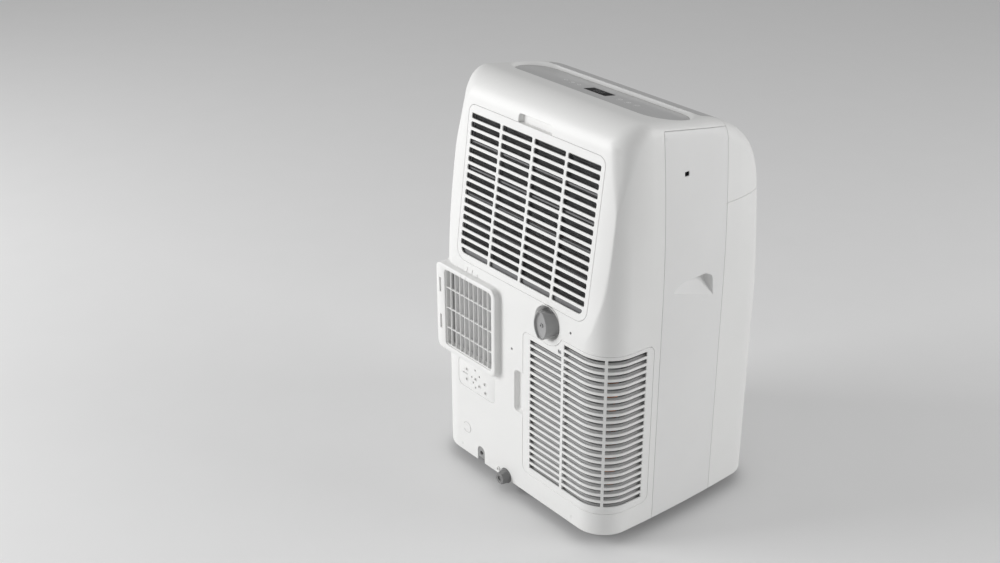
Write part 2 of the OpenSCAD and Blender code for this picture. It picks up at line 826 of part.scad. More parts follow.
module evaporator_shaft() in_frame() color(steel)
    rod_y([0, cold_fan_y - 28, cold_fan_z], shaft_r, cold_fan_w);

module evaporator_scroll() in_frame() color(shade_white) difference() {
    along_y(cold_fan_y - 8, cold_fan_y + cold_fan_w + 8) {
        translate([0, cold_fan_z])
            scroll_outline(cold_scroll_r, duct_floor_z - 0.5 - cold_fan_z, -60, 0);
    }
    along_y(cold_fan_y - 5.5, cold_fan_y + cold_fan_w + 5.5) {
        translate([0, cold_fan_z])
            scroll_outline(cold_scroll_r - wall, duct_floor_z + 9 - cold_fan_z, wall - 60, 0);
    }
    rod_y([0, cold_fan_y + cold_fan_w, cold_fan_z], 66, 40);
    rod_y([0, cold_fan_y - 20, cold_fan_z], 16, 30);
}

module evaporator_motor() in_frame() color(dark_grey) difference() {
    union() {
        rod_y([0, cold_fan_y - 68, cold_fan_z], 44, 56);
        rod_y([0, cold_fan_y - 12, cold_fan_z], 12, 3);
    }
    rod_y([0, cold_fan_y - 30, cold_fan_z], shaft_r + run_fit, 40);
}

module condenser_fan() in_frame() color(dark_grey)
    translate([hot_fan[0] + hot_fan_w + 10, hot_fan[1], hot_fan[2]]) rotate([0, -90, 0])
        drum_fan(hot_fan_r, hot_fan_w);

module condenser_shaft() in_frame() color(steel)
    rod_x([hot_fan[0] + 60, hot_fan[1], hot_fan[2]], shaft_r, 66);

module condenser_scroll() in_frame() color(shade_white) difference() {
    x0 = hot_fan[0] - 8;
    x1 = hot_fan[0] + hot_fan_w + 18;
    along_x(x0, x1) translate([hot_fan[1], hot_fan[2]]) {
        circle(hot_scroll_r);
        translate([0, -42]) square([rear_y - 9.5 - hot_fan[1], 150]);
    }
    along_x(x0 + 2.5, x1 - 2.5) translate([hot_fan[1], hot_fan[2]]) {
        circle(hot_scroll_r - 2.5);
        translate([0, -39.5]) square([rear_y - hot_fan[1], 145]);
    }
    rod_x([x0 - 10, hot_fan[1], hot_fan[2]], 62, 20);
    rod_x([x1 - 10, hot_fan[1], hot_fan[2]], 16, 20);
}

module condenser_motor() in_frame() color(dark_grey) difference() {
    x0 = hot_fan[0] + hot_fan_w + 20;
    rod_x([x0, hot_fan[1], hot_fan[2]], 40, 44);
    rod_x([x0 - 1, hot_fan[1], hot_fan[2]], shaft_r + run_fit, 34);
}

// ---- Refrigeration ------------------------------------------------------------------------------

comp = [-60, -70];
accu = [28, -125];
comp_r = 60;
comp_z0 = 52;
comp_h = 215;

module compressor() in_frame() color(black) {
    rod_z([comp[0], comp[1], comp_z0], comp_r, comp_h);
    rod_z([comp[0], comp[1], comp_z0 + comp_h], comp_r - 16, 14);
    for (a = [0, 120, 240]) translate([comp[0], comp[1], comp_z0]) rotate(a)
        translate([comp_r - 8, -14, 0]) cube([30, 28, 4]);
}

module compressor_feet() in_frame() color(black) for (a = [0, 120, 240])
    translate([comp[0], comp[1], 0]) rotate(a) translate([comp_r + 12, 0, tray_z + tray_floor])
        cylinder(h = comp_z0 - tray_z - tray_floor, r = 9);

module accumulator() in_frame() color(black) {
    rod_z([accu[0], accu[1], 90], 24, 150);
    rod_z([accu[0], accu[1], 239], 6, 21);
}

coil_y0 = 118;
coil_y1 = 144;

// Fin block with end plates and return bends, between two X positions
module coil(x0, x1, y0, y1, z0, z1) {
    block([x0, y0, z0], [x1, y1, z1]);
    for (x = [x0 - 3, x1 + 1]) block([x, y0 - 2, z0], [x + 2, y1 + 2, z1]);
    n = floor((z1 - z0 - 20) / 25);
    for (i = [0:n - 1]) {
        z = z0 + 16 + 25 * i;
        for (x = [x0 - 12, x1]) rod_x([x, (y0 + y1) / 2, z], 4, 12);
    }
}

module evaporator_coil() in_frame() color(steel) coil(-150, 150, coil_y0, coil_y1, 440, 690);
module condenser_coil() in_frame() color(steel) coil(-186, -30, 128, 164, 70, 345);

// Tube through a list of points, round at its bends
module tube(points, r) {
    for (i = [0:len(points) - 2]) {
        d = points[i + 1] - points[i];
        translate(points[i]) rotate([0, acos(d[2] / norm(d)), heading(d)]) cylinder(h = norm(d), r = r);
    }
    for (p = points) translate(p) sphere(r, $fn = 24);
}

riser_x = -172;
riser_turn_z = 385;

module refrigerant_pipes() in_frame() color(copper) {
    top = comp_z0 + comp_h + 14;
    tube([[comp[0], comp[1], top + 4.2], [comp[0], comp[1], 320], [comp[0], 123.8, 320]], 4);
    tube([[accu[0], accu[1], 265.2], [accu[0], accu[1], riser_turn_z], [riser_x, accu[1], riser_turn_z],
          [riser_x, accu[1], 470], [riser_x, 131, 470], [-158.2, 131, 470]], 5);
}

drip_rear_y = 166;

module drip_floor(z, h, inset) translate([0, 0, z]) linear_extrude(h) intersection() {
    polygon(outline(plan_corners, wall + 12 + inset));
    translate([-far, -far]) square([2 * far, far + drip_rear_y - inset]);
}

module drip_tray() in_frame() color(shade_white) difference() {
    drip_floor(404, 18, 0);
    drip_floor(407, 20, 3);
    rod_z([riser_x, accu[1], 390], 9, 40);
}

module capacitor_box() in_frame() color(panel_grey) {
    block([110, -150, 440], [180, -80, 600]);
    rod_z([145, -115, 600], 20, 40);
}

// ---- Casters ------------------------------------------------------------------------------------

axle_r = 3;
fork_wall = 3;
fork_top_z = 46;

// All casters trail towards the middle of the base at rest
function trail_x(i) = casters[i - 1][0];
function trail_y(i) = casters[i - 1][1] - sign(casters[i - 1][1]) * trail;

module caster_fork(i) in_frame() color(black) {
    x = trail_x(i);
    y = trail_y(i);
    inner = wheel_w / 2 + 0.6;
    for (s = [-1, 1]) translate([x + s * (inner + fork_wall / 2), 0, 0]) rotate([90, 0, 90])
        linear_extrude(fork_wall, center = true) {
            translate([y, wheel_r]) circle(8);
            translate([min(y, casters[i - 1][1]) - 8, wheel_r]) square([trail + 16, fork_top_z - wheel_r]);
        }
    block([x - inner - fork_wall, min(y, casters[i - 1][1]) - 8, fork_top_z - 4],
          [x + inner + fork_wall, max(y, casters[i - 1][1]) + 8, fork_top_z]);
    rod_z([casters[i - 1][0], casters[i - 1][1], fork_top_z - 1], stem_r, stem_top_z - fork_top_z - 1);
    rod_z([casters[i - 1][0], casters[i - 1][1], fork_top_z - 1], 9, well_z - fork_top_z);
    rod_x([x - inner - 1, y, wheel_r], axle_r, 2 * inner + 2);
}

module caster_wheel(i) in_frame() color(dark_grey) difference() {
    rod_x([trail_x(i) - wheel_w / 2, trail_y(i), wheel_r], wheel_r, wheel_w);
    rod_x([trail_x(i) - wheel_w, trail_y(i), wheel_r], axle_r + run_fit, 2 * wheel_w);
    for (s = [-1, 1]) translate([trail_x(i) + s * wheel_w / 2, trail_y(i), wheel_r]) rotate([0, 90, 0])
        difference() {
            cylinder(h = 5, r = wheel_r - 5, center = true);
            cylinder(h = 6, r = 6, center = true);
        }
}

rear_shell();
side_panel_left();
side_panel_right();
front_panel();
outlet_surround();
base_tray();
control_panel();
display_lens();
control_board();
sensor_window();
exhaust_outlet();
exhaust_grid();
exhaust_screen();
plug_holder();
drain_socket();
drain_spout();
cord_grommet();
case_screws();
evaporator_coil();
condenser_coil();
compressor();
compressor_feet();
accumulator();
refrigerant_pipes();
evaporator_scroll();
evaporator_motor();
condenser_scroll();
condenser_motor();
drip_tray();
outlet_duct();
capacitor_box();
upper_grille();
upper_filter();
lower_grille();
lower_filter();
grille_screw();
louvre();
vane_1();
vane_2();
vane_3();
vane_4();
vane_link();
evaporator_fan();
evaporator_shaft();
condenser_fan();
condenser_shaft();
drain_knob();
drain_plug();
plug_tether();
caster_fork(1);  // caster_fork_1
caster_fork(2);  // caster_fork_2
caster_fork(3);  // caster_fork_3
caster_fork(4);  // caster_fork_4
caster_wheel(1);  // caster_wheel_1
caster_wheel(2);  // caster_wheel_2
caster_wheel(3);  // caster_wheel_3
caster_wheel(4);  // caster_wheel_4
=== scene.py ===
"""Looks of the portable air conditioner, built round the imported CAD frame.

The casing is one smooth envelope: a rounded plan outline whose sides lean in towards the top, cut by a
rounded side-view outline. Its skin is parted by thin seams into the same panels as the CAD shells. Lengths in
the functions below are casing millimetres: X across, Y towards the rear outlet, Z up from the floor, with the
casing's own middle at the origin.
"""

import json
import math

import bmesh
import bpy
import numpy as np
from mathutils import Matrix, Vector


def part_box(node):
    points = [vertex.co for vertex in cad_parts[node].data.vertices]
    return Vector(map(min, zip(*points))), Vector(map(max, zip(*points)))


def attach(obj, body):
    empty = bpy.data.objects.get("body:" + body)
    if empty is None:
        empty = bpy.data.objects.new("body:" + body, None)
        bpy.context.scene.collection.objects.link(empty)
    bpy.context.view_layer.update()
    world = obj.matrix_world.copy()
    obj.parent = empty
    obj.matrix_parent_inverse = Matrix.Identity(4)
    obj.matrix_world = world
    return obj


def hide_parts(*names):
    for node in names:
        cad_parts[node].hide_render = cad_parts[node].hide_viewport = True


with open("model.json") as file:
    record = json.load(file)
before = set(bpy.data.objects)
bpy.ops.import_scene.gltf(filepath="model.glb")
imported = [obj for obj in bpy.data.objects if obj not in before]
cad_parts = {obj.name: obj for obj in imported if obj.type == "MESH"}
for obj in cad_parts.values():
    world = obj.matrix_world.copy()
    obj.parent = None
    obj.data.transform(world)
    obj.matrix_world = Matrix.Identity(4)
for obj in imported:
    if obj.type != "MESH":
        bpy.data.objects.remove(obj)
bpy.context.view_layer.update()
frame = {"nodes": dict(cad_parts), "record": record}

MM = 0.001

# ---- Casing dimensions, as in the part ------------------------------------------------------------
HALF_W = 233.5
REAR_Y = 198.5
FRONT_Y = -198.5
BODY_H = 765.0
FLOOR_GAP = 22.5
WALL = 2.5
REAR_R = 60.0
FRONT_R = 58.0
BOW_R = 2600.0
FRONT_BOW_R = 1900.0
TAPER_R = 2600.0
TAPER_Z = 597.0
TAPER = math.radians(6.4)
TOP_FALL = math.radians(9.3)
LEAN = math.radians(7.2)
LEAN_Z = 399.6
PEAK_Y = 102.0
CREST_R = 52.0
BOTTOM_R = 2.5

# the casing's middle lies forward of the row's origin, because the drain knob stands out behind
CASING_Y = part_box("lower_grille")[1].y / MM - REAR_Y


def top_z(y):
    return BODY_H - (PEAK_Y - y) * math.tan(TOP_FALL)


def lean_y(z):
    return REAR_Y - (z - LEAN_Z) * math.tan(LEAN)


BOW_HALF = math.asin((REAR_Y - REAR_R - 9) / BOW_R)
BOW_APEX = HALF_W + BOW_R * (1 / math.cos(BOW_HALF) - 1)
FRONT_BOW = math.asin((HALF_W - 14 - FRONT_R) / FRONT_BOW_R)
FRONT_APEX = FRONT_Y - FRONT_BOW_R * (1 / math.cos(FRONT_BOW) - 1)
FRONT_CORNER_Y = FRONT_APEX + (HALF_W - 8) * math.tan(FRONT_BOW)
CREST_Z = (top_z(0) + math.tan(TOP_FALL) * lean_y(0)) / (1 + math.tan(TOP_FALL) * math.tan(LEAN))


def bow_x(y):
    return BOW_APEX - abs(y) * math.tan(BOW_HALF)


PLAN = [(bow_x(REAR_Y), REAR_Y, REAR_R), (-bow_x(REAR_Y), REAR_Y, REAR_R), (-BOW_APEX, 0, BOW_R),
        (-bow_x(FRONT_CORNER_Y), FRONT_CORNER_Y, FRONT_R), (0, FRONT_APEX, FRONT_BOW_R),
        (bow_x(FRONT_CORNER_Y), FRONT_CORNER_Y, FRONT_R), (BOW_APEX, 0, BOW_R)]
SIDE = [(REAR_Y, FLOOR_GAP, BOTTOM_R), (REAR_Y, LEAN_Z, 150.0), (lean_y(CREST_Z), CREST_Z, CREST_R),
        (FRONT_Y, top_z(FRONT_Y), 211.0), (FRONT_Y, 220.0, 500.0), (FRONT_Y + 8, FLOOR_GAP, BOTTOM_R)]


# ---- Envelope as a signed distance -----------------------------------------------------------------
class RoundedOutline:
    """Signed distance to a convex outline with rounded corners: the largest reach over all its directions."""

    def __init__(self, corners):
        self.parts = []
        n = len(corners)
        for i, (x, y, r) in enumerate(corners):
            b = np.array([x, y], float)
            u = np.array(corners[i - 1][:2], float) - b
            v = np.array(corners[(i + 1) % n][:2], float) - b
            u, v = u / np.linalg.norm(u), v / np.linalg.norm(v)
            half = math.acos(np.clip(u @ v, -1, 1)) / 2
            centre = b + (u + v) / np.linalg.norm(u + v) * r / math.sin(half)
            start = b + u * r / math.tan(half) - centre
            end = b + v * r / math.tan(half) - centre
            self.parts.append((centre, start / r, end / r, r))

    def __call__(self, x, y):
        best = np.full(np.shape(x), -1e9)
        for centre, start, end, r in self.parts:
            dx, dy = x - centre[0], y - centre[1]
            inside = (start[0] * dy - start[1] * dx >= 0) & (dx * end[1] - dy * end[0] >= 0)
            edge = np.maximum(start[0] * dx + start[1] * dy, end[0] * dx + end[1] * dy)
            best = np.maximum(best, np.where(inside, np.hypot(dx, dy), edge) - r)
        return best


CORNER_GROWTH = 47.5     # how much rounder the plan's corners are at the top than low down
GROWTH_Z = 400.0
GROWTH_EASE = 30.0

plan_outline = RoundedOutline(PLAN)
top_outline = RoundedOutline([(x, y, r if r > 200 else r + CORNER_GROWTH) for x, y, r in PLAN])
side_outline = RoundedOutline(SIDE)
TAPER_ARC_LOW = TAPER_Z - TAPER_R * math.tan(TAPER / 2)
TAPER_ARC_HIGH = TAPER_Z + TAPER_R * math.tan(TAPER / 2) * math.cos(TAPER)


def half_width(z):
    """Half width of the casing at height z: upright, then leaning in along a large arc."""
    arc = HALF_W - TAPER_R + np.sqrt(np.maximum(TAPER_R ** 2 - (z - TAPER_ARC_LOW) ** 2, 1.0))
    line = HALF_W - (z - TAPER_Z) * math.tan(TAPER)
    return np.where(z < TAPER_ARC_LOW, HALF_W, np.where(z < TAPER_ARC_HIGH, arc, line))


def ramp(t, low, high):
    s = np.clip((t - low) / (high - low), 0, 1)
    return s * s * (3 - 2 * s)


CROWN_X, CROWN_R = 165.0, 200.0      # the leaning rear face falls away beside the grille
EDGE_BLEND = 26.0        # width of the rounding along the top edges
CREASE_BLEND = 1.4       # width of the crisp crease low on the rear corners
BOTTOM_BLEND = 3.0


def envelope(p):
    """Signed distance, in millimetres, of points (N, 3) from the casing's smooth outer surface."""
    x, y, z = p[:, 0], p[:, 1], p[:, 2]
    h = 0.05

    wide = x * HALF_W / half_width(z)
    above = np.hypot(np.maximum(z - GROWTH_Z, 0), GROWTH_EASE) - GROWTH_EASE
    eased = above / (BODY_H - GROWTH_Z - GROWTH_EASE)
    fall = np.maximum(np.abs(x) - CROWN_X, 0) ** 2 / (2 * CROWN_R) * ramp(z, 400, 500) * ramp(y, 20, 110)

    def walls(x, y):
        return plan_outline(x, y) * (1 - eased) + top_outline(x, y) * eased

    a, b = walls(wide, y), side_outline(y + fall, z)
    ax = (walls(wide + h, y) - a) / h
    ay = (walls(wide, y + h) - a) / h
    by = (side_outline(y + fall + h, z) - b) / h
    along = ay * by / np.maximum(np.hypot(ax, ay), 1e-6)
    low = 400 + 205 * ramp(y, -100, 60)
    k = EDGE_BLEND * ramp(z, low, low + 135) * np.clip((1 - along) / 0.45, 0, 1)
    k = np.maximum(k, CREASE_BLEND * np.clip((1 - along) / 0.1, 0, 1))
    k = np.maximum(k, BOTTOM_BLEND * (1 - ramp(z, 40, 80)) * np.clip((1 - along) / 0.45, 0, 1))
    k = np.maximum(k, 1e-3)
    near = np.maximum(k - np.abs(a - b), 0) / k
    return np.maximum(a, b) + near * near * k / 4


def gradient(p):
    h = 0.04
    g = np.stack([envelope(p + h * e) - envelope(p - h * e) for e in np.eye(3)], 1)
    return g / np.maximum(np.linalg.norm(g, axis=1, keepdims=True), 1e-9)


def cast(origin, direction, reach, level=0.0):
    """Where rays from inside the casing cross the surface at that distance from the envelope."""
    lo, hi = np.zeros(len(origin)), np.full(len(origin), float(reach))
    for _ in range(30):
        mid = (lo + hi) / 2
        out = envelope(origin + direction * mid[:, None]) > level
        hi, lo = np.where(out, mid, hi), np.where(out, lo, mid)
    return origin + direction * lo[:, None]


CORE_LO = np.array([-122.0, -88.0, 130.0])
CORE_HI = np.array([122.0, 88.0, 630.0])


def onto(points, level=0.0):
    """Moves points near the casing onto its surface, along rays that spread out from a core box."""
    q = np.asarray(points, float)
    core = np.clip(q, CORE_LO, CORE_HI)
    d = q - core
    d /= np.linalg.norm(d, axis=1, keepdims=True)
    return cast(core, d, 400, level)


def on_x(y, z, side, level=0.0):
    """Surface points at given y and z on one side (+1 or -1)."""
    y, z = np.asarray(y, float), np.asarray(z, float)
    o = np.stack([0 * y, y, z], 1)
    return cast(o, np.tile([side, 0.0, 0.0], (len(y), 1)), 400, level)


def on_y(x, z, side=1, level=0.0):
    x, z = np.asarray(x, float), np.asarray(z, float)
    o = np.stack([x, 0 * x, z], 1)
    return cast(o, np.tile([0.0, side, 0.0], (len(x), 1)), 400, level)


def on_z(x, y, level=0.0):
    x, y = np.asarray(x, float), np.asarray(y, float)
    o = np.stack([x, y, 0 * x + 400], 1)
    return cast(o, np.tile([0.0, 0.0, 1.0], (len(x), 1)), 600, level)


# ---- Mesh helpers ----------------------------------------------------------------------------------
def to_row(points):
    p = np.asarray(points, float).copy()
    p[:, 1] += CASING_Y
    return p * MM


def new_object(name, points, faces):
    mesh = bpy.data.meshes.new(name)
    mesh.from_pydata([tuple(p) for p in to_row(points)], [], [list(f) for f in faces])
    mesh.update()
    obj = bpy.data.objects.new(name, mesh)
    bpy.context.scene.collection.objects.link(obj)
    return obj


def face_outwards(obj):
    bm = bmesh.new()
    bm.from_mesh(obj.data)
    bmesh.ops.recalc_face_normals(bm, faces=bm.faces)
    bm.to_mesh(obj.data)
    bm.free()
    return obj


def loft_data(loops, close=False):
    """Points and faces of a tube through loops of equal length; open ends get caps."""
    n, rows = len(loops[0]), len(loops)
    points = np.concatenate([np.asarray(loop, float) for loop in loops])
    faces = []
    for r in range(rows if close else rows - 1):
        a, b = r * n, ((r + 1) % rows) * n
        faces += [(a + i, a + (i + 1) % n, b + (i + 1) % n, b + i) for i in range(n)]
    if not close:
        faces += [tuple(range(n))[::-1], tuple((rows - 1) * n + i for i in range(n))]
    return points, faces


def loft(name, loops, close=False):
    return face_outwards(new_object(name, *loft_data(loops, close)))


def joined(name, parts):
    """One object from several closed meshes given as (points, faces)."""
    points, faces, start = [], [], 0
    for p, f in parts:
        points.append(np.asarray(p, float))
        faces += [tuple(i + start for i in face) for face in f]
        start += len(p)
    return face_outwards(new_object(name, np.concatenate(points), faces))


def rounded_loop(x0, z0, x1, z1, r, grow=0.0, steps=6):
    """Counter-clockwise 2-D outline of a rectangle with round corners, grown outwards."""
    r = max(r + grow, 0.02)
    x0, z0, x1, z1 = x0 - grow, z0 - grow, x1 + grow, z1 + grow
    r = min(r, (x1 - x0) / 2 - 0.01, (z1 - z0) / 2 - 0.01)
    loop = []
    centres = [(x1 - r, z1 - r), (x0 + r, z1 - r), (x0 + r, z0 + r), (x1 - r, z0 + r)]
    for (cx, cz), start in zip(centres, (0, 90, 180, 270)):
        for i in range(steps + 1):
            a = math.radians(start + 90 * i / steps)
            loop.append((cx + r * math.cos(a), cz + r * math.sin(a)))
    return loop


def circle(cx, cz, r, steps=48):
    return [(cx + r * math.cos(2 * math.pi * i / steps), cz + r * math.sin(2 * math.pi * i / steps))
            for i in range(steps)]


def at_y(loop, y):
    return [(x, y, z) for x, z in loop]


def on_lean(loop, depth):
    """Places an outline given as seen from behind (x, z) on the leaning rear face, that deep beneath it."""
    n = np.array([0, math.cos(LEAN), math.sin(LEAN)])
    return [tuple(np.array([x, lean_y(z), z]) - depth * n) for x, z in loop]


def on_top(loop, depth):
    n = np.array([0, -math.sin(TOP_FALL), math.cos(TOP_FALL)])
    up = np.array([0, math.cos(TOP_FALL), math.sin(TOP_FALL)])
    base = np.array([0, 0, top_z(0)])
    return [tuple(base + np.array([x, 0, 0]) + up * v - depth * n) for x, v in loop]


def boolean(obj, cutter, operation="DIFFERENCE", keep=False):
    mod = obj.modifiers.new("cut", "BOOLEAN")
    mod.operation = operation
    mod.solver = "MANIFOLD"
    mod.object = cutter
    apply_modifiers(obj)
    if not keep:
        remove(cutter)
    return obj


def apply_modifiers(obj):
    bpy.context.view_layer.update()
    done = obj.evaluated_get(bpy.context.evaluated_depsgraph_get())
    mesh = bpy.data.meshes.new_from_object(done)
    old = obj.data
    obj.modifiers.clear()
    obj.data = mesh
    bpy.data.meshes.remove(old)
    return obj


def remove(obj):
    mesh = obj.data
    bpy.data.objects.remove(obj)
    bpy.data.meshes.remove(mesh)


def bevelled(obj, width, angle=35, segments=3):
    mod = obj.modifiers.new("edges", "BEVEL")
    mod.width = width * MM
    mod.segments = segments
    mod.limit_method = "ANGLE"
    mod.angle_limit = math.radians(angle)
    mod.harden_normals = False
    apply_modifiers(obj)
    return smooth(obj)


def smooth(obj, angle=35):
    mesh = obj.data
    mesh.polygons.foreach_set("use_smooth", [True] * len(mesh.polygons))
    mesh.set_sharp_from_angle(angle=math.radians(angle))
    mesh.update()
    return obj


def points_of(obj):
    co = np.zeros(len(obj.data.vertices) * 3)
    obj.data.vertices.foreach_get("co", co)
    p = co.reshape(-1, 3) / MM
    p[:, 1] -= CASING_Y
    return p


def shade_as_envelope(obj):
    """Gives the moulded outer surface the envelope's own normals, so that no cut shows in its shading."""
    smooth(obj, 32)
    mesh = obj.data
    p = points_of(obj)
    near = np.abs(envelope(p)) < 0.03
    normals = gradient(p)
    loops = np.zeros(len(mesh.loops), int)
    mesh.loops.foreach_get("vertex_index", loops)
    out = np.zeros((len(mesh.loops), 3))
    for poly in mesh.polygons:
        a, b = poly.loop_start, poly.loop_start + poly.loop_total
        v = loops[a:b]
        if near[v].all() and (normals[v] @ np.array(poly.normal)).min() > 0.93:
            out[a:b] = normals[v]
    mesh.normals_split_custom_set([tuple(n) for n in out])
    mesh.update()
    return obj


# ---- Smooth skin -----------------------------------------------------------------------------------
def box_lattice(lo, hi, cells):
    """Closed grid of quads on a box's six faces."""
    index, points, faces = {}, [], []

    def vertex(*ijk):
        if ijk not in index:
            index[ijk] = len(points)
            points.append([lo[a] + (hi[a] - lo[a]) * ijk[a] / cells[a] for a in range(3)])
        return index[ijk]

    for axis in range(3):
        u, v = (axis + 1) % 3, (axis + 2) % 3
        for end in (0, cells[axis]):
            for i in range(cells[u]):
                for j in range(cells[v]):
                    quad = []
                    for du, dv in ((0, 0), (1, 0), (1, 1), (0, 1)):
                        ijk = [0, 0, 0]
                        ijk[axis], ijk[u], ijk[v] = end, i + du, j + dv
                        quad.append(vertex(*ijk))
                    faces.append(tuple(quad if end else quad[::-1]))
    return np.array(points), faces


def envelope_mesh():
    """Grid on the envelope, refined where it turns quickly. Returns points and faces."""
    points, faces = box_lattice((-HALF_W, FRONT_Y, FLOOR_GAP), (HALF_W, REAR_Y, BODY_H), (60, 52, 96))
    points = onto(points)
    bm = bmesh.new()
    verts = [bm.verts.new(p) for p in points]
    for f in faces:
        bm.faces.new([verts[i] for i in f])
    for _ in range(4):
        bm.verts.ensure_lookup_table()
        bm.verts.index_update()
        co = np.array([v.co for v in bm.verts])
        normals = gradient(co)
        edges = {e for f in bm.faces for e in f.edges
                 if normals[e.verts[0].index] @ normals[e.verts[1].index] < math.cos(math.radians(11))
                 and e.calc_length() > 0.7}
        around = {e for edge in edges for f in edge.link_faces for e in f.edges}
        count = len(bm.verts)
        bmesh.ops.subdivide_edges(bm, edges=list(around), cuts=1, use_grid_fill=True)
        bm.verts.ensure_lookup_table()
        fresh = [v for v in bm.verts[count:]]
        for v, p in zip(fresh, onto([v.co for v in fresh])):
            v.co = p
    bmesh.ops.triangulate(bm, faces=[f for f in bm.faces if len(f.verts) > 4])
    bm.verts.index_update()
    points = np.array([v.co for v in bm.verts])
    faces = [tuple(v.index for v in f.verts) for f in bm.faces]
    bm.free()
    return points, faces


def flipped(faces):
    return [f[::-1] for f in faces]


LIP = [(1.05, 0.8), (1.0, 0.03), (0.7, -0.1), (0.43, -0.33), (0.25, -0.75), (0.25, -4.8)]


def seam(name, path, closed=False, lip=LIP, normal=None):
    """Cutter for the gap between two panels: a narrow slot with rounded lips along a line on the surface."""
    path = np.asarray(path, float)
    normal = gradient(path) if normal is None else normal
    if closed:
        tangent = np.roll(path, -1, 0) - np.roll(path, 1, 0)
    else:
        tangent = np.gradient(path, axis=0)
    tangent -= (tangent * normal).sum(1, keepdims=True) * normal
    tangent /= np.linalg.norm(tangent, axis=1, keepdims=True)
    across = np.cross(normal, tangent)
    profile = lip + [(-b, n) for b, n in lip[::-1]]
    loops = [[p + b * a + n * m for b, n in profile] for p, a, m in zip(path, across, normal)]
    return loft(name, loops, close=closed)


def densify(corners, radius, step=3.0, closed=True):
    """Points along a polyline whose corners are rounded, about step apart."""
    c = [np.array(p, float) for p in corners]
    n = len(c)
    out = []
    for i in range(n):
        if not closed and i in (0, n - 1):
            out.append(c[i])
            continue
        u, v = c[i - 1] - c[i], c[(i + 1) % n] - c[i]
        u, v = u / np.linalg.norm(u), v / np.linalg.norm(v)
        half = math.acos(np.clip(u @ v, -1, 1)) / 2
        r = radius[i] if isinstance(radius, (list, tuple)) else radius
        if half > math.radians(89) or r <= 0:
            out.append(c[i])
            continue
        centre = c[i] + (u + v) / np.linalg.norm(u + v) * r / math.sin(half)
        start, end = c[i] + u * r / math.tan(half) - centre, c[i] + v * r / math.tan(half) - centre
        a0 = math.atan2(start[1], start[0])
        turn = (math.atan2(end[1], end[0]) - a0 + math.pi) % (2 * math.pi) - math.pi
        steps = max(4, int(abs(turn) * r / min(step, r / 3)))
        out += [centre + r * np.array([math.cos(a0 + turn * k / steps), math.sin(a0 + turn * k / steps)])
                for k in range(steps + 1)]
    dense = []
    count = len(out)
    for i in range(count if closed else count - 1):
        a, b = out[i], out[(i + 1) % count]
        steps = max(1, int(np.linalg.norm(b - a) / step))
        dense += [a + (b - a) * k / steps for k in range(steps)]
    if not closed:
        dense.append(out[-1])
    return np.array(dense)


# ---- Places of the openings, as in the part --------------------------------------------------------
SEAM_REAR, SEAM_FRONT, SEAM_FRONT_Z, SIDE_DROP = 77.0, -68.0, 592.0, 13.0
UPPER = (-172.7, 428.0, 172.7, 712.0, 16.0)
NOTCH_HALF = 42.0
LOWER_LEFT, LOWER_BOTTOM, LOWER_STEP, LOWER_TOP, LOWER_RIGHT_Y = -19.0, 67.0, 356.0, 380.0, 91.0
KNOB = (-81.5, 396.5)
SOCKET_R = 33.0
OUTLET = (55.0, 244.5, 190.0, 401.0)
RIM = (44.5, 233.0, 217.0, 410.0, 16.0)
HOLDER = (60.0, 168.0, 167.0, 228.0, 12.0)
SPOUT = (28.0, 30.0)
PLUG_R = 14.5
CORD_NOTCH = (102.0, 10.0, 55.7)
POCKET = (-18.4, 184.6, 4.0, 269.4)
LOUVRE = (189.0, -150.0, -34.0)
PANEL = (196.0, -29.0, 62.0)
REAR_SCREWS = [(11.5, 307.0), (-140.7, 401.5)]
GRILLE_SCREW = (-114.5, 355.2)
SENSOR = (29.0, 668.0)
MARK_ARC = (144.0, 79.5, 11.0)
CORNER = plan_outline.parts[1][0]
REAR_FLAT = float(CORNER[0])


# the lines of a pressed tongue above the outlet and a short tick beside it
TONGUE_LINES = [((129.7, 395.0), (122.9, 419.0)), ((143.0, 395.0), (137.7, 419.0)),
                ((109.7, 408.0), (109.7, 415.0))]


def wall_point(s):
    """Point (x, y) on the lower wall, s millimetres from the rear middle towards -X, round the corner."""
    flat = -REAR_FLAT
    turn = math.pi / 2 - BOW_HALF
    arc = REAR_R * turn
    if s <= flat:
        return -s, REAR_Y
    if s <= flat + arc:
        a = math.pi / 2 + (s - flat) / REAR_R
        return CORNER[0] + REAR_R * math.cos(a), CORNER[1] + REAR_R * math.sin(a)
    y = CORNER[1] + REAR_R * math.sin(math.pi / 2 + turn) - (s - flat - arc)
    return float(on_x([y], [200.0], -1)[0][0]), y


def wall_length(y):
    """How far along the wall the side is reached at that y."""
    flat, turn = -REAR_FLAT, math.pi / 2 - BOW_HALF
    return flat + REAR_R * turn + CORNER[1] + REAR_R * math.sin(math.pi / 2 + turn) - y


def on_wall(path):
    """Surface points for a path of (distance along the wall, z)."""
    return np.array([(*wall_point(s), z) for s, z in path])


def stadium(grow=0.0, steps=20):
    half, front, rear = PANEL
    mid, r = (front + rear) / 2, (rear - front) / 2
    loop = []
    for side in (1, -1):
        for i in range(steps + 1):
            a = math.radians(-90 + 180 * i / steps) + (0 if side > 0 else math.pi)
            loop.append((side * (half - r) + (r + grow) * math.cos(a), mid + (r + grow) * math.sin(a)))
    return loop


def flare(place, loop_of, depths, lip=0.8, proud=3.0):
    """Loops of a cutter that opens out with a rounded lip where it meets a flat surface."""
    loops = [place(loop_of(lip + 0.05), -proud), place(loop_of(lip), -0.03)]
    for i in (1, 2, 3):
        a = math.radians(90 * i / 3)
        loops.append(place(loop_of(lip * (1 - math.sin(a))), lip * (1 - math.cos(a))))
    return loops + [place(loop_of(0.0), d) for d in depths]


def rear_place(loop, depth):
    return at_y(loop, REAR_Y - depth)


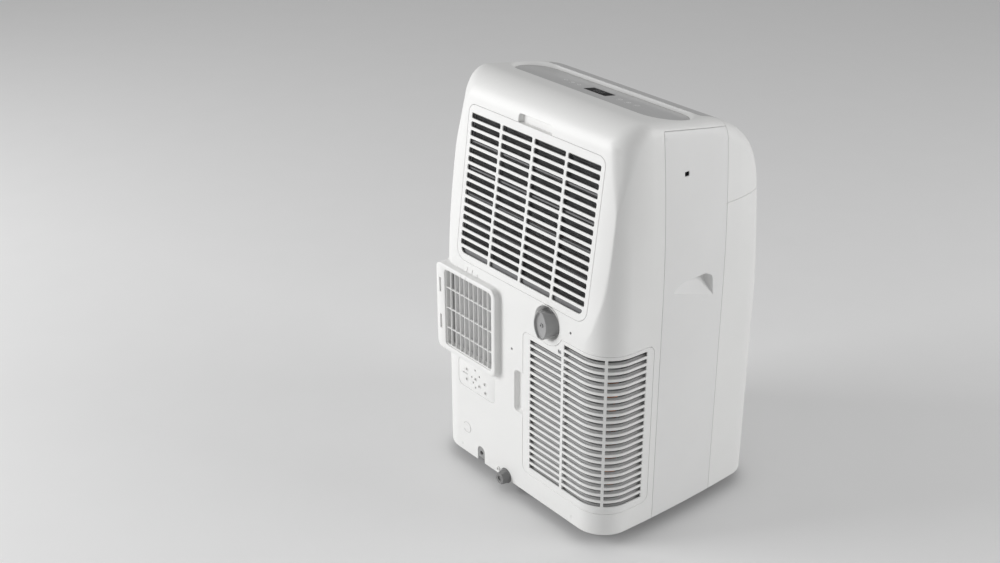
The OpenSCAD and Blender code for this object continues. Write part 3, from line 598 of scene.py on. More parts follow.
def handle_cutter(side, grow):
    """Finger recess: a ramp from a slanting lower line that deepens to a steep front end and a flat top."""
    corners = [(-44 - grow, 424 - 2 * grow), (-39 - grow, 470 + grow), (-22, 479 + grow), (38, 478 + grow),
               (58 + 2 * grow, 462 + grow / 2)]
    outline = densify(corners, [1.0, 12.0, 20.0, 26.0, 1.0], 4.0)
    if side > 0:
        outline = outline[::-1]
    mid = np.array([2.0, 462.0])
    deep = 0.60 * np.maximum(outline[:, 1] - (428.5 + (outline[:, 0] + 45) * 0.33), -6) + 1.4 * grow

    def ring(shrink, depth_share):
        ring2 = outline + (mid - outline) * shrink
        x = side * (HALF_W + 0.6 - deep * depth_share)
        return [(xx, yy, zz) for xx, (yy, zz) in zip(np.broadcast_to(x, len(ring2)), ring2)]

    outer = [(side * (HALF_W + 12), yy, zz) for yy, zz in outline]
    loops = [outer, ring(0.0, 0.0), ring(0.012, 0.5), ring(0.035, 0.82), ring(0.085, 0.985)]
    return loft(f"handle_{side}", loops)


PANEL_GAP = 3.0          # strip between the control panel and the louvre in front of it


def recess_loop(grow):
    """The control panel's outline grown outwards, but never past the louvre's rear edge."""
    front = PANEL[1] - min(grow, PANEL_GAP + 0.01 * grow)
    return [(x, max(v, front)) for x, v in stadium(grow)]


PANEL_LINING = [(x, max(v, PANEL[1] - PANEL_GAP - 1)) for x, v in stadium(14.0)]


THROUGH = (10.0, 45.0)   # depths of a cutter that runs clear through the skin


def cord_notch_loop(grow):
    mid, half, top = CORD_NOTCH
    return rounded_loop(mid - half, 5, mid + half, top, half, grow=grow, steps=10)


def build_skin():
    points, faces = envelope_mesh()
    inner = onto(points, -WALL)
    lining = onto(points, -WALL / 2)
    skin = new_object("skin", np.concatenate([points, inner]),
                      list(faces) + [tuple(i + len(points) for i in f) for f in flipped(faces)])

    # linings of the finger recesses, just under the surface
    block_parts = [handle_cutter(side, 2.4) for side in (-1, 1)]
    block_parts.append(loft("lining", [rear_place(half_round(POCKET[0] - 0.3, 2.4), d) for d in (-5, 12)]))
    finger_notch = rounded_loop(-NOTCH_HALF, 714.0, NOTCH_HALF, 728.0, 4, 2.2)
    block_parts.append(loft("lining", [on_lean(finger_notch, d) for d in (-6, 14)]))
    block_parts.append(loft("lining", [on_top(PANEL_LINING, d) for d in (-5, 9.5)]))
    for block in block_parts:
        under = new_object("under", lining, faces)
        boolean(block, under, "INTERSECT")
        boolean(skin, block, "UNION")

    # floor of the skin, open for the base tray
    bottom = [[(x, y, z) for x, y in plan_loop(-WALL)] for z in (-5.0, 60.0)]
    boolean(skin, loft("bottom", bottom))

    # recesses
    for side in (-1, 1):
        boolean(skin, handle_cutter(side, 0.0))
    boolean(skin, pocket_cutter())
    boolean(skin, notch_cutter())

    # control panel: a soft valley down to the panel, then a straight wall
    valley = [(11.5, -14.0), (11.0, -0.4), (8.8, 0.15), (6.6, 0.9), (4.6, 2.1), (2.9, 3.6), (1.3, 5.0),
              (0.3, 6.0), (0.0, 6.8), (0.0, 30.0)]
    boolean(skin, loft("panel_cut", [on_top(recess_loop(g), d) for g, d in valley]))

    # rear openings, cut clear through the skin
    cutters = [
        flare(rear_place, lambda g: circle(KNOB[0], KNOB[1], SOCKET_R - 0.6 + g, 72), THROUGH, 0.5),
        flare(rear_place, lambda g: rounded_loop(*HOLDER, grow=g), THROUGH, 0.5),
        flare(rear_place, lambda g: circle(SPOUT[0], SPOUT[1], PLUG_R + 0.6 + g, 56), THROUGH, 0.8),
        flare(rear_place, cord_notch_loop, THROUGH, 1.0),
        [rear_place(rounded_loop(SPOUT[0] - 15, 5, SPOUT[0] + 15, SPOUT[1], 0.5), d) for d in (-5, 45)],
        [rear_place(rounded_loop(OUTLET[0] - 4, OUTLET[1] - 4, OUTLET[2] + 4, OUTLET[3] + 4, 10), d)
         for d in (-5, 60)],
    ]
    cutters += [flare(rear_place, lambda g, s=s: circle(s[0], s[1], 2.5 + g, 28), (10.0, 30.0), 0.4)
                for s in REAR_SCREWS]
    cutters.append(flare(rear_place, lambda g: circle(*GRILLE_SCREW, 4.3 + g, 36), (10.0, 30.0), 0.5))
    for loops in cutters:
        boolean(skin, loft("cutter", loops))

    y, z = SENSOR
    hole = [[(x, v, w) for v, w in rounded_loop(y - 5, z - 4, y + 5, z + 4, 1.2)] for x in (-245, -195)]
    boolean(skin, loft("sensor_hole", hole))

    # moulded marks: an arc low on the rear face and two shallow dots
    x, z, r = MARK_ARC
    arc = [(x + r * math.cos(a), z + r * math.sin(a)) for a in np.radians(range(35, 326, 10))]
    groove = [(1.15, 0.8), (1.1, 0.02), (0.75, -0.3), (0.6, -1.5)]
    boolean(skin, seam("arc", [(px, REAR_Y, pz) for px, pz in arc], lip=groove))
    for ends in TONGUE_LINES:
        (x, z), (x1, z1) = ends
        run = [on_y([x + (x1 - x) * t], [z + (z1 - z) * t])[0] for t in np.linspace(0.25, 1, 6)]
        boolean(skin, seam("tongue", run, lip=groove))
    for x in (155.5, -155.4):
        boolean(skin, loft("dot", [rear_place(circle(x, 38.2, r, 24), d)
                                   for r, d in ((4.2, -2), (4.2, 0.0), (3.4, 0.7), (2.0, 0.9))]))

    cut_slots(skin)
    cut_seams(skin)
    return skin


def plan_loop(grow):
    """The plan outline as points, grown outwards."""
    loop = []
    for (centre, start, end, r) in plan_outline.parts:
        a0, a1 = math.atan2(start[1], start[0]), math.atan2(end[1], end[0])
        turn = (a1 - a0) % (2 * math.pi)
        steps = max(6, int(math.degrees(turn) / 4))
        loop += [(centre[0] + (r + grow) * math.cos(a0 + turn * i / steps),
                  centre[1] + (r + grow) * math.sin(a0 + turn * i / steps)) for i in range(steps + 1)]
    return loop


def pocket_cutter():
    """Thumb pocket beside the lower grille: it deepens from its free edge towards the grille."""
    x0 = POCKET[0]
    sections = ((x0 - 0.8, 1.4, -3.0), (x0 - 0.8, 1.3, -0.05), (x0 - 0.8, 0.5, 0.25), (x0 - 0.8, -0.2, 1.1),
                (x0 - 0.8, -0.7, 2.7), (x0 + 1.6, -0.75, 2.8), (x0 + 1.7, -1.2, 4.0), (x0 + 1.9, -2.6, 7.2),
                (x0 + 3.4, -4.5, 8.8))
    return loft("pocket", [rear_place(half_round(left, grow), depth) for left, grow, depth in sections])


def half_round(left, grow):
    """Outline of the thumb pocket: straight beside the grille, round at its two free corners."""
    x1, z0, z1, r = POCKET[2] + grow, POCKET[1] - grow, POCKET[3] + grow, 9 + grow
    turn = np.linspace(0, math.pi / 2, 9)
    upper = [(x1 - r + r * math.cos(a), z1 - r + r * math.sin(a)) for a in turn]
    lower = [(x1 - r + r * math.cos(a), z0 + r + r * math.sin(a)) for a in turn - math.pi / 2]
    return upper + [(left, z1), (left, z0)] + lower


def notch_cutter():
    """Finger notch above the upper grille, with slanting ends."""
    loops = []
    sections = ((1.6, -4.0), (1.4, -0.1), (0.6, 0.25), (0.0, 1.0), (-1.0, 4.5), (-2.4, 8.0), (-4.0, 9.4))
    for grow, depth in sections:
        loop = rounded_loop(-NOTCH_HALF, 690.0, NOTCH_HALF, 728.0, 5, grow=grow, steps=6)
        loops.append(on_lean(loop, depth))
    cutter = loft("notch", loops)
    keep = loft("keep", [on_lean([(90, 712.3), (90, 745), (-90, 745), (-90, 712.3)], d) for d in (-12, 20)])
    return boolean(cutter, keep, "INTERSECT")


UPPER_ROWS, UPPER_PITCH, UPPER_FIRST = 17, 15.35, 691.8
UPPER_SLOT_H, UPPER_SLOT_W, UPPER_COL = 9.8, 77.4, 83.2
LOWER_ROWS, LOWER_PITCH, LOWER_FIRST, LOWER_SLOT_H = 20, 13.47, 85.9, 8.4
MULLION_S = -REAR_FLAT + REAR_R * math.radians(44.3)


def slot_outline(x, z, w, h, row):
    """A slot of the upper grille; the outer slots of the last row follow the panel's round corners."""
    corner = [1.5, 1.5, 1.5, 1.5]
    if row == UPPER_ROWS - 1:
        if x > 100:
            corner[3] = 8.0
        if x < -100:
            corner[2] = 8.0
    x0, z0, x1, z1 = x - w / 2, z - h / 2, x + w / 2, z + h / 2
    if row == UPPER_ROWS - 1 and abs(x) > 100:
        x0, x1 = (x0, x1 - 3) if x > 0 else (x0 + 3, x1)

    def make(grow):
        loop = []
        for k, (sx, sz) in enumerate(((1, 1), (-1, 1), (-1, -1), (1, -1))):
            r = min(corner[k] + 1.3 + grow, (h / 2 + grow) * (1.9 if corner[k] > 5 else 0.98))
            cx = (x1 + grow - r) if sx > 0 else (x0 - grow + r)
            cz = (z1 + grow - r) if sz > 0 else (z0 - grow + r)
            for i in range(7):
                a = math.radians(90 * k + 90 * i / 6)
                loop.append((cx + r * math.cos(a), cz + r * math.sin(a)))
        return loop
    return make


def cut_slots(skin):
    parts = []
    for row in range(UPPER_ROWS):
        z = UPPER_FIRST - row * UPPER_PITCH
        for col in (-1.5, -0.5, 0.5, 1.5):
            make = slot_outline(col * UPPER_COL, z, UPPER_SLOT_W, UPPER_SLOT_H, row)
            loops = flare(on_lean, make, (1.2, 16.0), 0.7)
            parts.append(loft_data(loops))
    boolean(skin, joined("upper_slots", parts))
    half = LOWER_SLOT_H / 2
    columns = [(38.0, 119.5, LOWER_ROWS), (125.5, MULLION_S - 2.7, LOWER_ROWS + 2),
               (MULLION_S + 2.7, wall_length(107.0), LOWER_ROWS + 2)]
    parts = []
    for s0, s1, rows in columns:
        steps = 2 if s1 < 130 else 26
        along = [s0 + (s1 - s0) * i / steps for i in range(steps + 1)]
        xy = [wall_point(s) for s in along]
        out = [gradient(np.array([[x, y, 200.0]]))[0][:2] for x, y in xy]
        for row in range(rows):
            z = LOWER_FIRST + row * LOWER_PITCH
            section = [(3.0, half + 0.75), (0.02, half + 0.7), (-0.25, half + 0.25), (-0.7, half)]
            section += [(-6.0, half)]
            section += [(d, -h) for d, h in section[::-1]]
            loops = [[(x + n[0] * d, y + n[1] * d, z + h) for d, h in section]
                     for (x, y), n in zip(xy, out)]
            parts.append(loft_data(loops))
    boolean(skin, joined("lower_slots", parts))


def cut_seams(skin):
    # side panels: up the rear seam, along the top edge and down the front seam
    for side in (-1, 1):
        corners = [(SEAM_REAR, 8.0), (SEAM_REAR, top_z(SEAM_REAR) - SIDE_DROP),
                   (SEAM_FRONT, top_z(SEAM_FRONT) - SIDE_DROP), (SEAM_FRONT, 8.0)]
        path = densify(corners, [0, 3.5, 3.5, 0], 3.0, closed=False)
        low = np.maximum(path[:, 1], 34.0)
        points = on_x(path[:, 0], low, side)
        normals = gradient(points)
        points[:, 2] = path[:, 1]
        boolean(skin, seam("side_seam", points, normal=normals))
        # upper end of the seam between the rear shell and the upper front, over the top edge
        over = [cast(np.array([[side * 120.0, SEAM_FRONT, 640.0]]),
                     np.array([[side * math.cos(t), 0, math.sin(t)]]), 300)[0]
                for t in np.linspace(0.45, 1.15, 26)]
        over = [p for p in over if p[2] > top_z(SEAM_FRONT) - SIDE_DROP - 4 or abs(p[0]) < 215]
        boolean(skin, seam("top_seam", over))
    # front seam, all round the front at one height
    outside = [(-260, SEAM_FRONT + 3), (-260, -240), (260, -240), (260, SEAM_FRONT + 3)]
    ring = densify(outside, [0, 60, 60, 0], 5.0, closed=False)
    origin = np.tile([0.0, SEAM_FRONT + 3, SEAM_FRONT_Z], (len(ring), 1))
    d = np.stack([ring[:, 0], ring[:, 1] - SEAM_FRONT - 3, 0 * ring[:, 0]], 1)
    d /= np.linalg.norm(d, axis=1, keepdims=True)
    boolean(skin, seam("front_seam", cast(origin, d, 400)))
    # upper grille
    x0, z0, x1, z1, r = UPPER
    path = densify([(x1, z0), (x1, z1), (x0, z1), (x0, z0)], [24.0, r, r, 24.0], 3.0)
    boolean(skin, seam("upper_seam", on_y(path[:, 0], path[:, 1]), closed=True))
    # lower grille, round the corner of the casing and under the knob's socket
    right = wall_length(LOWER_RIGHT_Y)
    arc_r = SOCKET_R + 8
    dz = LOWER_STEP - KNOB[1]
    s_knob = -KNOB[0]
    arc0 = math.atan2(dz, -math.sqrt(arc_r ** 2 - dz ** 2))
    dz1 = LOWER_TOP - KNOB[1]
    arc1 = math.atan2(dz1, math.sqrt(arc_r ** 2 - dz1 ** 2))
    turn = (arc1 - arc0) % (2 * math.pi)
    arc = [(s_knob + arc_r * math.cos(a), KNOB[1] + arc_r * math.sin(a))
           for a in np.linspace(arc0, arc0 + turn, 13)]
    corners = [(-LOWER_LEFT, LOWER_BOTTOM), (right, LOWER_BOTTOM), (right, LOWER_TOP)]
    corners += arc[::-1] + [(-LOWER_LEFT, LOWER_STEP)]
    radii = [14.0, 14.0, 14.0] + [3.0] + [0] * 11 + [1.0] + [12.0]
    path = densify(corners, radii, 3.0)
    boolean(skin, seam("lower_seam", on_wall(path), closed=True))
    # louvre
    half, y0, y1 = LOUVRE
    path = densify([(half + 0.6, y0 - 0.6), (half + 0.6, y1 + 0.6), (-half - 0.6, y1 + 0.6),
                    (-half - 0.6, y0 - 0.6)], 5.0, 3.0)
    wide = [(b + 0.35, n) for b, n in LIP]
    boolean(skin, seam("louvre_seam", on_z(path[:, 0], path[:, 1]), closed=True, lip=wide))


def separate(skin):
    """The skin's loose pieces as (points, faces), largest first."""
    bm = bmesh.new()
    bm.from_mesh(skin.data)
    bm.verts.ensure_lookup_table()
    seen, groups = set(), []
    for start in bm.verts:
        if start.index in seen:
            continue
        seen.add(start.index)
        stack, group = [start], []
        while stack:
            v = stack.pop()
            group.append(v)
            for e in v.link_edges:
                w = e.other_vert(v)
                if w.index not in seen:
                    seen.add(w.index)
                    stack.append(w)
        groups.append(group)
    groups.sort(key=len, reverse=True)
    out = []
    for group in groups:
        index = {v.index: i for i, v in enumerate(group)}
        faces = {f for v in group for f in v.link_faces}
        points = np.array([v.co for v in group]) / MM
        points[:, 1] -= CASING_Y
        out.append((points, [tuple(index[v.index] for v in f.verts) for f in faces]))
    bm.free()
    return out


def which_panel(points):
    lo, hi = points.min(0), points.max(0)
    if (hi - lo).max() < 30:
        return None
    if abs(lo[0]) < 195 and abs(hi[0]) < 195 and lo[2] > 600 and hi[1] < SEAM_FRONT + 60 and lo[1] > -160:
        return "louvre"
    if lo[2] > 424 and hi[2] < 716 and lo[1] > 100:
        return "upper_grille"
    if hi[0] < 0 and lo[2] > 60 and hi[2] < 390:
        return "lower_grille"
    if hi[1] < SEAM_FRONT + 1:
        return "front_panel" if hi[2] < SEAM_FRONT_Z + 2 else "outlet_surround"
    if lo[1] > SEAM_FRONT - 3 and hi[1] < SEAM_REAR + 3:
        return "side_panel_left" if hi[0] < 0 else "side_panel_right"
    return "rear_shell"


# ---- Materials -------------------------------------------------------------------------------------
def material(name, colour, roughness, grain=0.0, grain_scale=1400, variation=0.03, metallic=0.0, coat=0.0,
             streak=None, specular=0.5):
    """Procedural finish: colour and roughness that vary slightly, and a fine moulded or cast grain."""
    mat = bpy.data.materials.new(name)
    mat.use_nodes = True
    nodes, links = mat.node_tree.nodes, mat.node_tree.links
    shader = nodes["Principled BSDF"]
    shader.inputs["Metallic"].default_value = metallic
    shader.inputs["Coat Weight"].default_value = coat
    shader.inputs["Specular IOR Level"].default_value = specular
    shader.inputs["Coat Roughness"].default_value = 0.12
    place = nodes.new("ShaderNodeTexCoord")
    broad = nodes.new("ShaderNodeTexNoise")
    broad.inputs["Scale"].default_value = 9
    broad.inputs["Detail"].default_value = 5
    links.new(place.outputs["Object"], broad.inputs["Vector"])
    tint = nodes.new("ShaderNodeValToRGB")
    dark = tuple(c * (1 - variation) for c in colour)
    light = tuple(min(1, c * (1 + variation)) for c in colour)
    tint.color_ramp.elements[0].position, tint.color_ramp.elements[1].position = 0.3, 0.7
    tint.color_ramp.elements[0].color = (*dark, 1)
    tint.color_ramp.elements[1].color = (*light, 1)
    links.new(broad.outputs["Fac"], tint.inputs["Fac"])
    links.new(tint.outputs["Color"], shader.inputs["Base Color"])
    fine = nodes.new("ShaderNodeTexNoise")
    fine.inputs["Scale"].default_value = grain_scale
    fine.inputs["Detail"].default_value = 3
    stretch = nodes.new("ShaderNodeMapping")
    stretch.inputs["Scale"].default_value = streak or (1, 1, 1)
    links.new(place.outputs["Object"], stretch.inputs["Vector"])
    links.new(stretch.outputs["Vector"], fine.inputs["Vector"])
    rough = nodes.new("ShaderNodeMapRange")
    rough.inputs["To Min"].default_value = max(0.02, roughness - 0.06)
    rough.inputs["To Max"].default_value = min(1.0, roughness + 0.06)
    mix = nodes.new("ShaderNodeMath")
    mix.operation = "ADD"
    half = nodes.new("ShaderNodeMath")
    half.operation = "MULTIPLY"
    half.inputs[1].default_value = 0.5
    links.new(broad.outputs["Fac"], mix.inputs[0])
    links.new(fine.outputs["Fac"], mix.inputs[1])
    links.new(mix.outputs[0], half.inputs[0])
    links.new(half.outputs[0], rough.inputs["Value"])
    links.new(rough.outputs["Result"], shader.inputs["Roughness"])
    if grain:
        bump = nodes.new("ShaderNodeBump")
        bump.inputs["Strength"].default_value = grain
        bump.inputs["Distance"].default_value = 0.0003
        links.new(fine.outputs["Fac"], bump.inputs["Height"])
        links.new(bump.outputs["Normal"], shader.inputs["Normal"])
    return mat


MATERIALS = {
    "white_plastic": material("white_plastic", (0.83, 0.83, 0.82), 0.42, 0.10, 1600, 0.012),
    "side_plastic": material("side_plastic", (0.80, 0.80, 0.795), 0.45, 0.12, 1600, 0.012),
    "control_plastic": material("control_plastic", (0.50, 0.50, 0.50), 0.30, 0.04, 1200, 0.02, coat=0.25),
    "dark_plastic": material("dark_plastic", (0.05, 0.05, 0.053), 0.55, 0.3, 1100, 0.12),
    "knob_plastic": material("knob_plastic", (0.36, 0.36, 0.36), 0.42, 0.18, 1500, 0.04),
    "display_black": material("display_black", (0.008, 0.008, 0.009), 0.34, 0.05, 1400, 0.2, specular=0.02),
    "circuit_board": material("circuit_board", (0.02, 0.12, 0.05), 0.4, 0.2, 900, 0.2),
    "filter_mesh": material("filter_mesh", (0.16, 0.16, 0.165), 0.6, 0.3, 1300, 0.08),
    "plug_rubber": material("plug_rubber", (0.22, 0.22, 0.22), 0.62, 0.3, 1300, 0.08),
    "wheel_rubber": material("wheel_rubber", (0.03, 0.03, 0.03), 0.6, 0.4, 900, 0.2),
    "black_steel": material("black_steel", (0.02, 0.02, 0.022), 0.38, 0.35, 700, 0.2, coat=0.2),
    "fin_aluminium": material("fin_aluminium", (0.32, 0.33, 0.34), 0.42, 0.2, 500, 0.06, metallic=0.8,
                              streak=(1, 1, 0.05)),
    "pipe_copper": material("pipe_copper", (0.62, 0.27, 0.15), 0.32, 0.15, 700, 0.12, metallic=1.0,
                            streak=(1, 1, 0.1)),
    "screw_steel": material("screw_steel", (0.42, 0.42, 0.43), 0.34, 0.25, 900, 0.1, metallic=1.0,
                            streak=(1, 0.1, 1)),
}
SCREEN_GREY = material("screen_grey", (0.46, 0.46, 0.46), 0.5, 0.15, 1400, 0.03)
BAR_GREY = material("bar_grey", (0.50, 0.50, 0.50), 0.5, 0.15, 1400, 0.04)
GLAND_GREY = material("gland_grey", (0.30, 0.30, 0.30), 0.6, 0.25, 1200, 0.06)
CLOTH_DARK = material("cloth_dark", (0.07, 0.07, 0.072), 0.7, 0.2, 1400, 0.1)
FIGURE_GREY = material("figure_grey", (0.10, 0.10, 0.10), 0.3, 0.05, 1400, 0.05)
ICON_WHITE = material("icon_print", (0.90, 0.90, 0.90), 0.4, 0.05, 1400, 0.02)


def dress(obj, slot, body, *replaced, mat=None):
    obj.data.materials.clear()
    obj.data.materials.append(mat or MATERIALS[slot])
    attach(obj, body)
    if replaced:
        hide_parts(*replaced)
    return obj


# ---- Build: casing panels --------------------------------------------------------------------------
BODY_OF = {"louvre": "louvre", "upper_grille": "upper_grille", "lower_grille": "lower_grille"}
SLOT_OF = {"side_panel_left": "side_plastic", "side_panel_right": "side_plastic",
           "louvre": "control_plastic"}

skin = build_skin()
for points, faces in separate(skin):
    name = which_panel(points)
    if name is None:
        continue
    if "skin_" + name in bpy.data.objects:
        continue
    panel = shade_as_envelope(new_object("skin_" + name, points, faces))
    dress(panel, SLOT_OF.get(name, "white_plastic"), BODY_OF.get(name, "root"), name)
remove(skin)

# ---- Build: exhaust outlet --------------------------------------------------------------------------
def over_surface(loop, rise):
    """Stands an outline seen from behind (x, z) off the casing's rear surface by that much."""
    x, z = np.array(loop).T
    p = on_y(x, z)
    p[:, 1] += rise
    return p


def window_loop(grow, y):
    return at_y(rounded_loop(*OUTLET, 8.0, grow=grow, steps=8), y)


def rim_loop(grow, y):
    return at_y(rounded_loop(*RIM, grow=grow, steps=8), y)


FACE_Y = REAR_Y + 12


def on_rim(grow, rise):
    return over_surface(rounded_loop(*RIM, grow=grow, steps=8), rise)


rim = loft("outlet_rim", [
    window_loop(0, REAR_Y - 12), window_loop(0, FACE_Y - 1.8), window_loop(0.4, FACE_Y - 0.5),
    window_loop(1.5, FACE_Y), rim_loop(-3.4, FACE_Y), rim_loop(-1.8, FACE_Y - 0.35),
    rim_loop(-0.6, FACE_Y - 1.4), rim_loop(0, FACE_Y - 3.2), on_rim(0.0, 3.4), on_rim(0.5, 1.7),
    on_rim(1.6, 0.55), on_rim(3.4, 0.0), on_rim(3.4, -1.2), on_rim(-4.0, -1.2),
    window_loop(3.5, REAR_Y - 6), window_loop(3.5, REAR_Y - 12)], close=True)
CATCH_X, CATCH_Z, CATCH_H = (199.5, 205.5), (274.5, 350.0), 29.5
for z in CATCH_Z:
    slot = rounded_loop(CATCH_X[0], z, CATCH_X[1], z + CATCH_H, 1.2)
    catch = [at_y(slot, y) for y in (FACE_Y - 8, FACE_Y + 2)]
    boolean(rim, loft("catch", catch))
edge = RIM[2]
wedge = [[(edge + dx, FACE_Y + dy, z) for dx, dy in ((-11, 0), (3, -3.6), (3, 3), (-11, 3))]
         for z in (RIM[1] - 3, RIM[3] + 3)]
boolean(rim, loft("wedge", wedge))
for (x, z), (xt, zt) in TONGUE_LINES:
    slope = (xt - x) / (zt - z)
    for z0, z1, y0 in ((z, RIM[3] - 1, FACE_Y - 0.9), (RIM[3] - 1.2, RIM[3] + 3, REAR_Y + 1)):
        ends = ((z0, -0.45), (z0, 0.45), (z1, 0.45), (z1, -0.45))
        line = [[(x + slope * (v - z) + side, y, v) for v, side in ends] for y in (y0, FACE_Y + 2)]
        boolean(rim, loft("tongue", line))
dress(smooth(rim, 30), "white_plastic", "root", "exhaust_outlet")


def bar(a, b, across, half, front, back):
    """Bar with a rounded front between two points in the plane of the outlet's window."""
    profile = [(-half, back), (half, back), (half, front - half), (half * 0.7, front - half * 0.3),
               (0, front), (-half * 0.7, front - half * 0.3), (-half, front - half)]
    return loft_data([[(x + u * across[0], v, z + u * across[1]) for u, v in profile] for x, z in (a, b)])


GRID_LEVELS = (280.9, 322.3, 363.7)


def louvre_grid():
    x0, z0, x1, z1 = OUTLET
    section = ((-0.3, 5), (-0.3, 9), (-1.2, 9.3), (-1.9, 8.8), (-1.9, 5))
    grid = loft("grid", [window_loop(g, REAR_Y + rise) for g, rise in section], close=True)
    pitch = (x1 - x0 - 2.2) / 10
    places = [x0 + 1.1 + pitch * i for i in range(1, 10)]
    upright = joined("upright", [bar((x, z0 + 0.6), (x, z1 - 0.6), (1, 0), 0.95, REAR_Y + 9, REAR_Y + 5)
                                 for x in places])
    level = joined("level", [bar((x0 + 0.6, z), (x1 - 0.6, z), (0, 1), 0.85, REAR_Y + 8.9, REAR_Y + 5.2)
                             for z in GRID_LEVELS])
    boolean(upright, level, "UNION")
    return boolean(grid, upright, "UNION")


dress(smooth(louvre_grid(), 40), "white_plastic", "root", "exhaust_grid")


def box_part(lo, hi):
    x0, y0, z0 = lo
    x1, y1, z1 = hi
    return loft_data([[(x0, y, z0), (x1, y, z0), (x1, y, z1), (x0, y, z1)] for y in (y0, y1)])


def strands(x0, z0, x1, z1, y, pitch, width):
    """Woven screen: upright and level strands, close enough to touch."""
    parts = []
    nx, nz = int((x1 - x0) / pitch), int((z1 - z0) / pitch)
    for i in range(nx + 1):
        x = x0 + (x1 - x0) * i / nx
        parts.append(box_part((x - width / 2, y - width * 0.7, z0), (x + width / 2, y, z1)))
    for i in range(nz + 1):
        z = z0 + (z1 - z0) * i / nz
        parts.append(box_part((x0, y - width * 0.4, z - width / 2), (x1, y + width * 0.3, z + width / 2)))
    return parts


x0, z0, x1, z1 = OUTLET
screen = joined("outlet_screen", strands(x0 + 1, z0 + 1, x1 - 1, z1 - 1, REAR_Y - 5.2, 2.3, 1.25))
boolean(screen, loft("keep", [window_loop(-0.3, REAR_Y - 12), window_loop(-0.3, REAR_Y)]), "INTERSECT")
dress(screen, "control_plastic", "root", "exhaust_screen", mat=SCREEN_GREY)

# ---- Build: plug parking plate -----------------------------------------------------------------------
HOLES = [(142.6, 207.6, 2.6), (118.0, 215.0, 2.1), (128.0, 197.0, 2.1), (116.8, 197.0, 2.6),
         (105.3, 207.0, 2.2), (143.0, 186.3, 2.4), (123.5, 187.0, 2.1), (105.7, 186.0, 2.4),
         (89.4, 198.0, 2.7), (117.0, 178.7, 2.2), (88.0, 179.5, 2.7)]
plate = loft("parking_plate", [at_y(rounded_loop(*HOLDER, grow=g, steps=8), y) for g, y in (
    (-0.4, REAR_Y - 6), (-0.4, REAR_Y - 0.9), (-0.6, REAR_Y - 0.5), (-1.1, REAR_Y - 0.3))])
COLLAR = ((1.5, -2), (1.5, 0), (1.1, 0.4), (0.4, 0.4), (0.4, -2))
rings = [loft_data([at_y(circle(x, z, r + g, 28), REAR_Y + rise) for g, rise in COLLAR])
         for x, z, r in HOLES if r > 2.3]
boolean(plate, joined("rings", rings), "UNION")
cuts = [loft_data([at_y(circle(x, z, r, 28), y) for y in (REAR_Y - 4.6, REAR_Y + 3)]) for x, z, r in HOLES]
blade_slot = rounded_loop(139.6, 196.3, 154.4, 198.7, 1.1)
cuts.append(loft_data([at_y(blade_slot, y) for y in (REAR_Y - 3, REAR_Y + 3)]))
boolean(plate, joined("cuts", cuts))
dress(smooth(plate, 30), "white_plastic", "root", "plug_holder")


# ---- Build: drain knob, its socket, drain plug and tether ---------------------------------------------
def lathe(name, profile, cx, cz, steps=64, close=True):
    """Ring turned about an axis along Y; the profile lists (radius, y)."""
    return loft(name, [at_y(circle(cx, cz, r, steps), y) for r, y in profile], close)


DISH = [(9.1, 175.5), (9.1, 178.2), (24.4, 178.2), (24.7, 183.8), (26.2, 184.6), (28.4, 189.5),
        (30.6, 196.4), (31.1, 197.6), (31.8, 198.2), (32.2, 197.6), (32.2, 175.5)]
dish = lathe("knob_socket", DISH, *KNOB, 80)
swing_room = rounded_loop(-120, 427.2, -40, 440, 0.5)
boolean(dish, loft("swing_room", [at_y(swing_room, 170.0), at_y(swing_room, 197.2)]))
dress(smooth(dish, 30), "white_plastic", "root", "drain_socket")


def grip(t, grow, y, steps=14):
    """Outline of the knob: a blunt spindle at its face (t = 0), two arcs of its disc at its foot (t = 1)."""
    centre = -19.2 * (1 - t)
    radius = 35.8 - 10.2 * t + grow
    reach = math.radians(46.3 - 6.3 * t)
    side = [(centre + radius * math.cos(a), radius * math.sin(a))
            for a in np.linspace(-reach, reach, steps + 1)]
    return at_y([(KNOB[0] + x, KNOB[1] + z) for x, z in side + [(-x, -z) for x, z in side]], y)


GRIP = [(1, 0, 183.5), (1, 0, 187.5), (0.96, 0, 189), (0.62, 0, 195), (0.3, 0, 201), (0.09, 0, 207),
        (0, 0, 212.4), (0, -0.25, 213.7), (0, -0.9, 214.4), (0, -1.7, 214.4), (0, -2.3, 213.9),
        (0, -2.7, 212.2), (0, -3.4, 210.9), (0, -5.0, 210.4)]
knob = loft("knob", [grip(*level) for level in GRIP])
boolean(knob, lathe("hub", [(9.0, 170.5), (9.0, 186)], *KNOB, close=False), "UNION")
boolean(knob, lathe("disc", [(23.6, 180.5), (24.0, 181.0), (24.0, 184.6), (23.5, 185.2)], *KNOB,
                    close=False), "UNION")
boolean(knob, lathe("boss", [(4.2, 209), (4.0, 211.6), (3.5, 212.2)], *KNOB, 32, close=False), "UNION")
boolean(knob, lathe("dimple", [(2.0, 210.8), (2.3, 214)], *KNOB, 32, close=False))
dress(smooth(knob, 28), "knob_plastic", "drain_knob", "drain_knob")

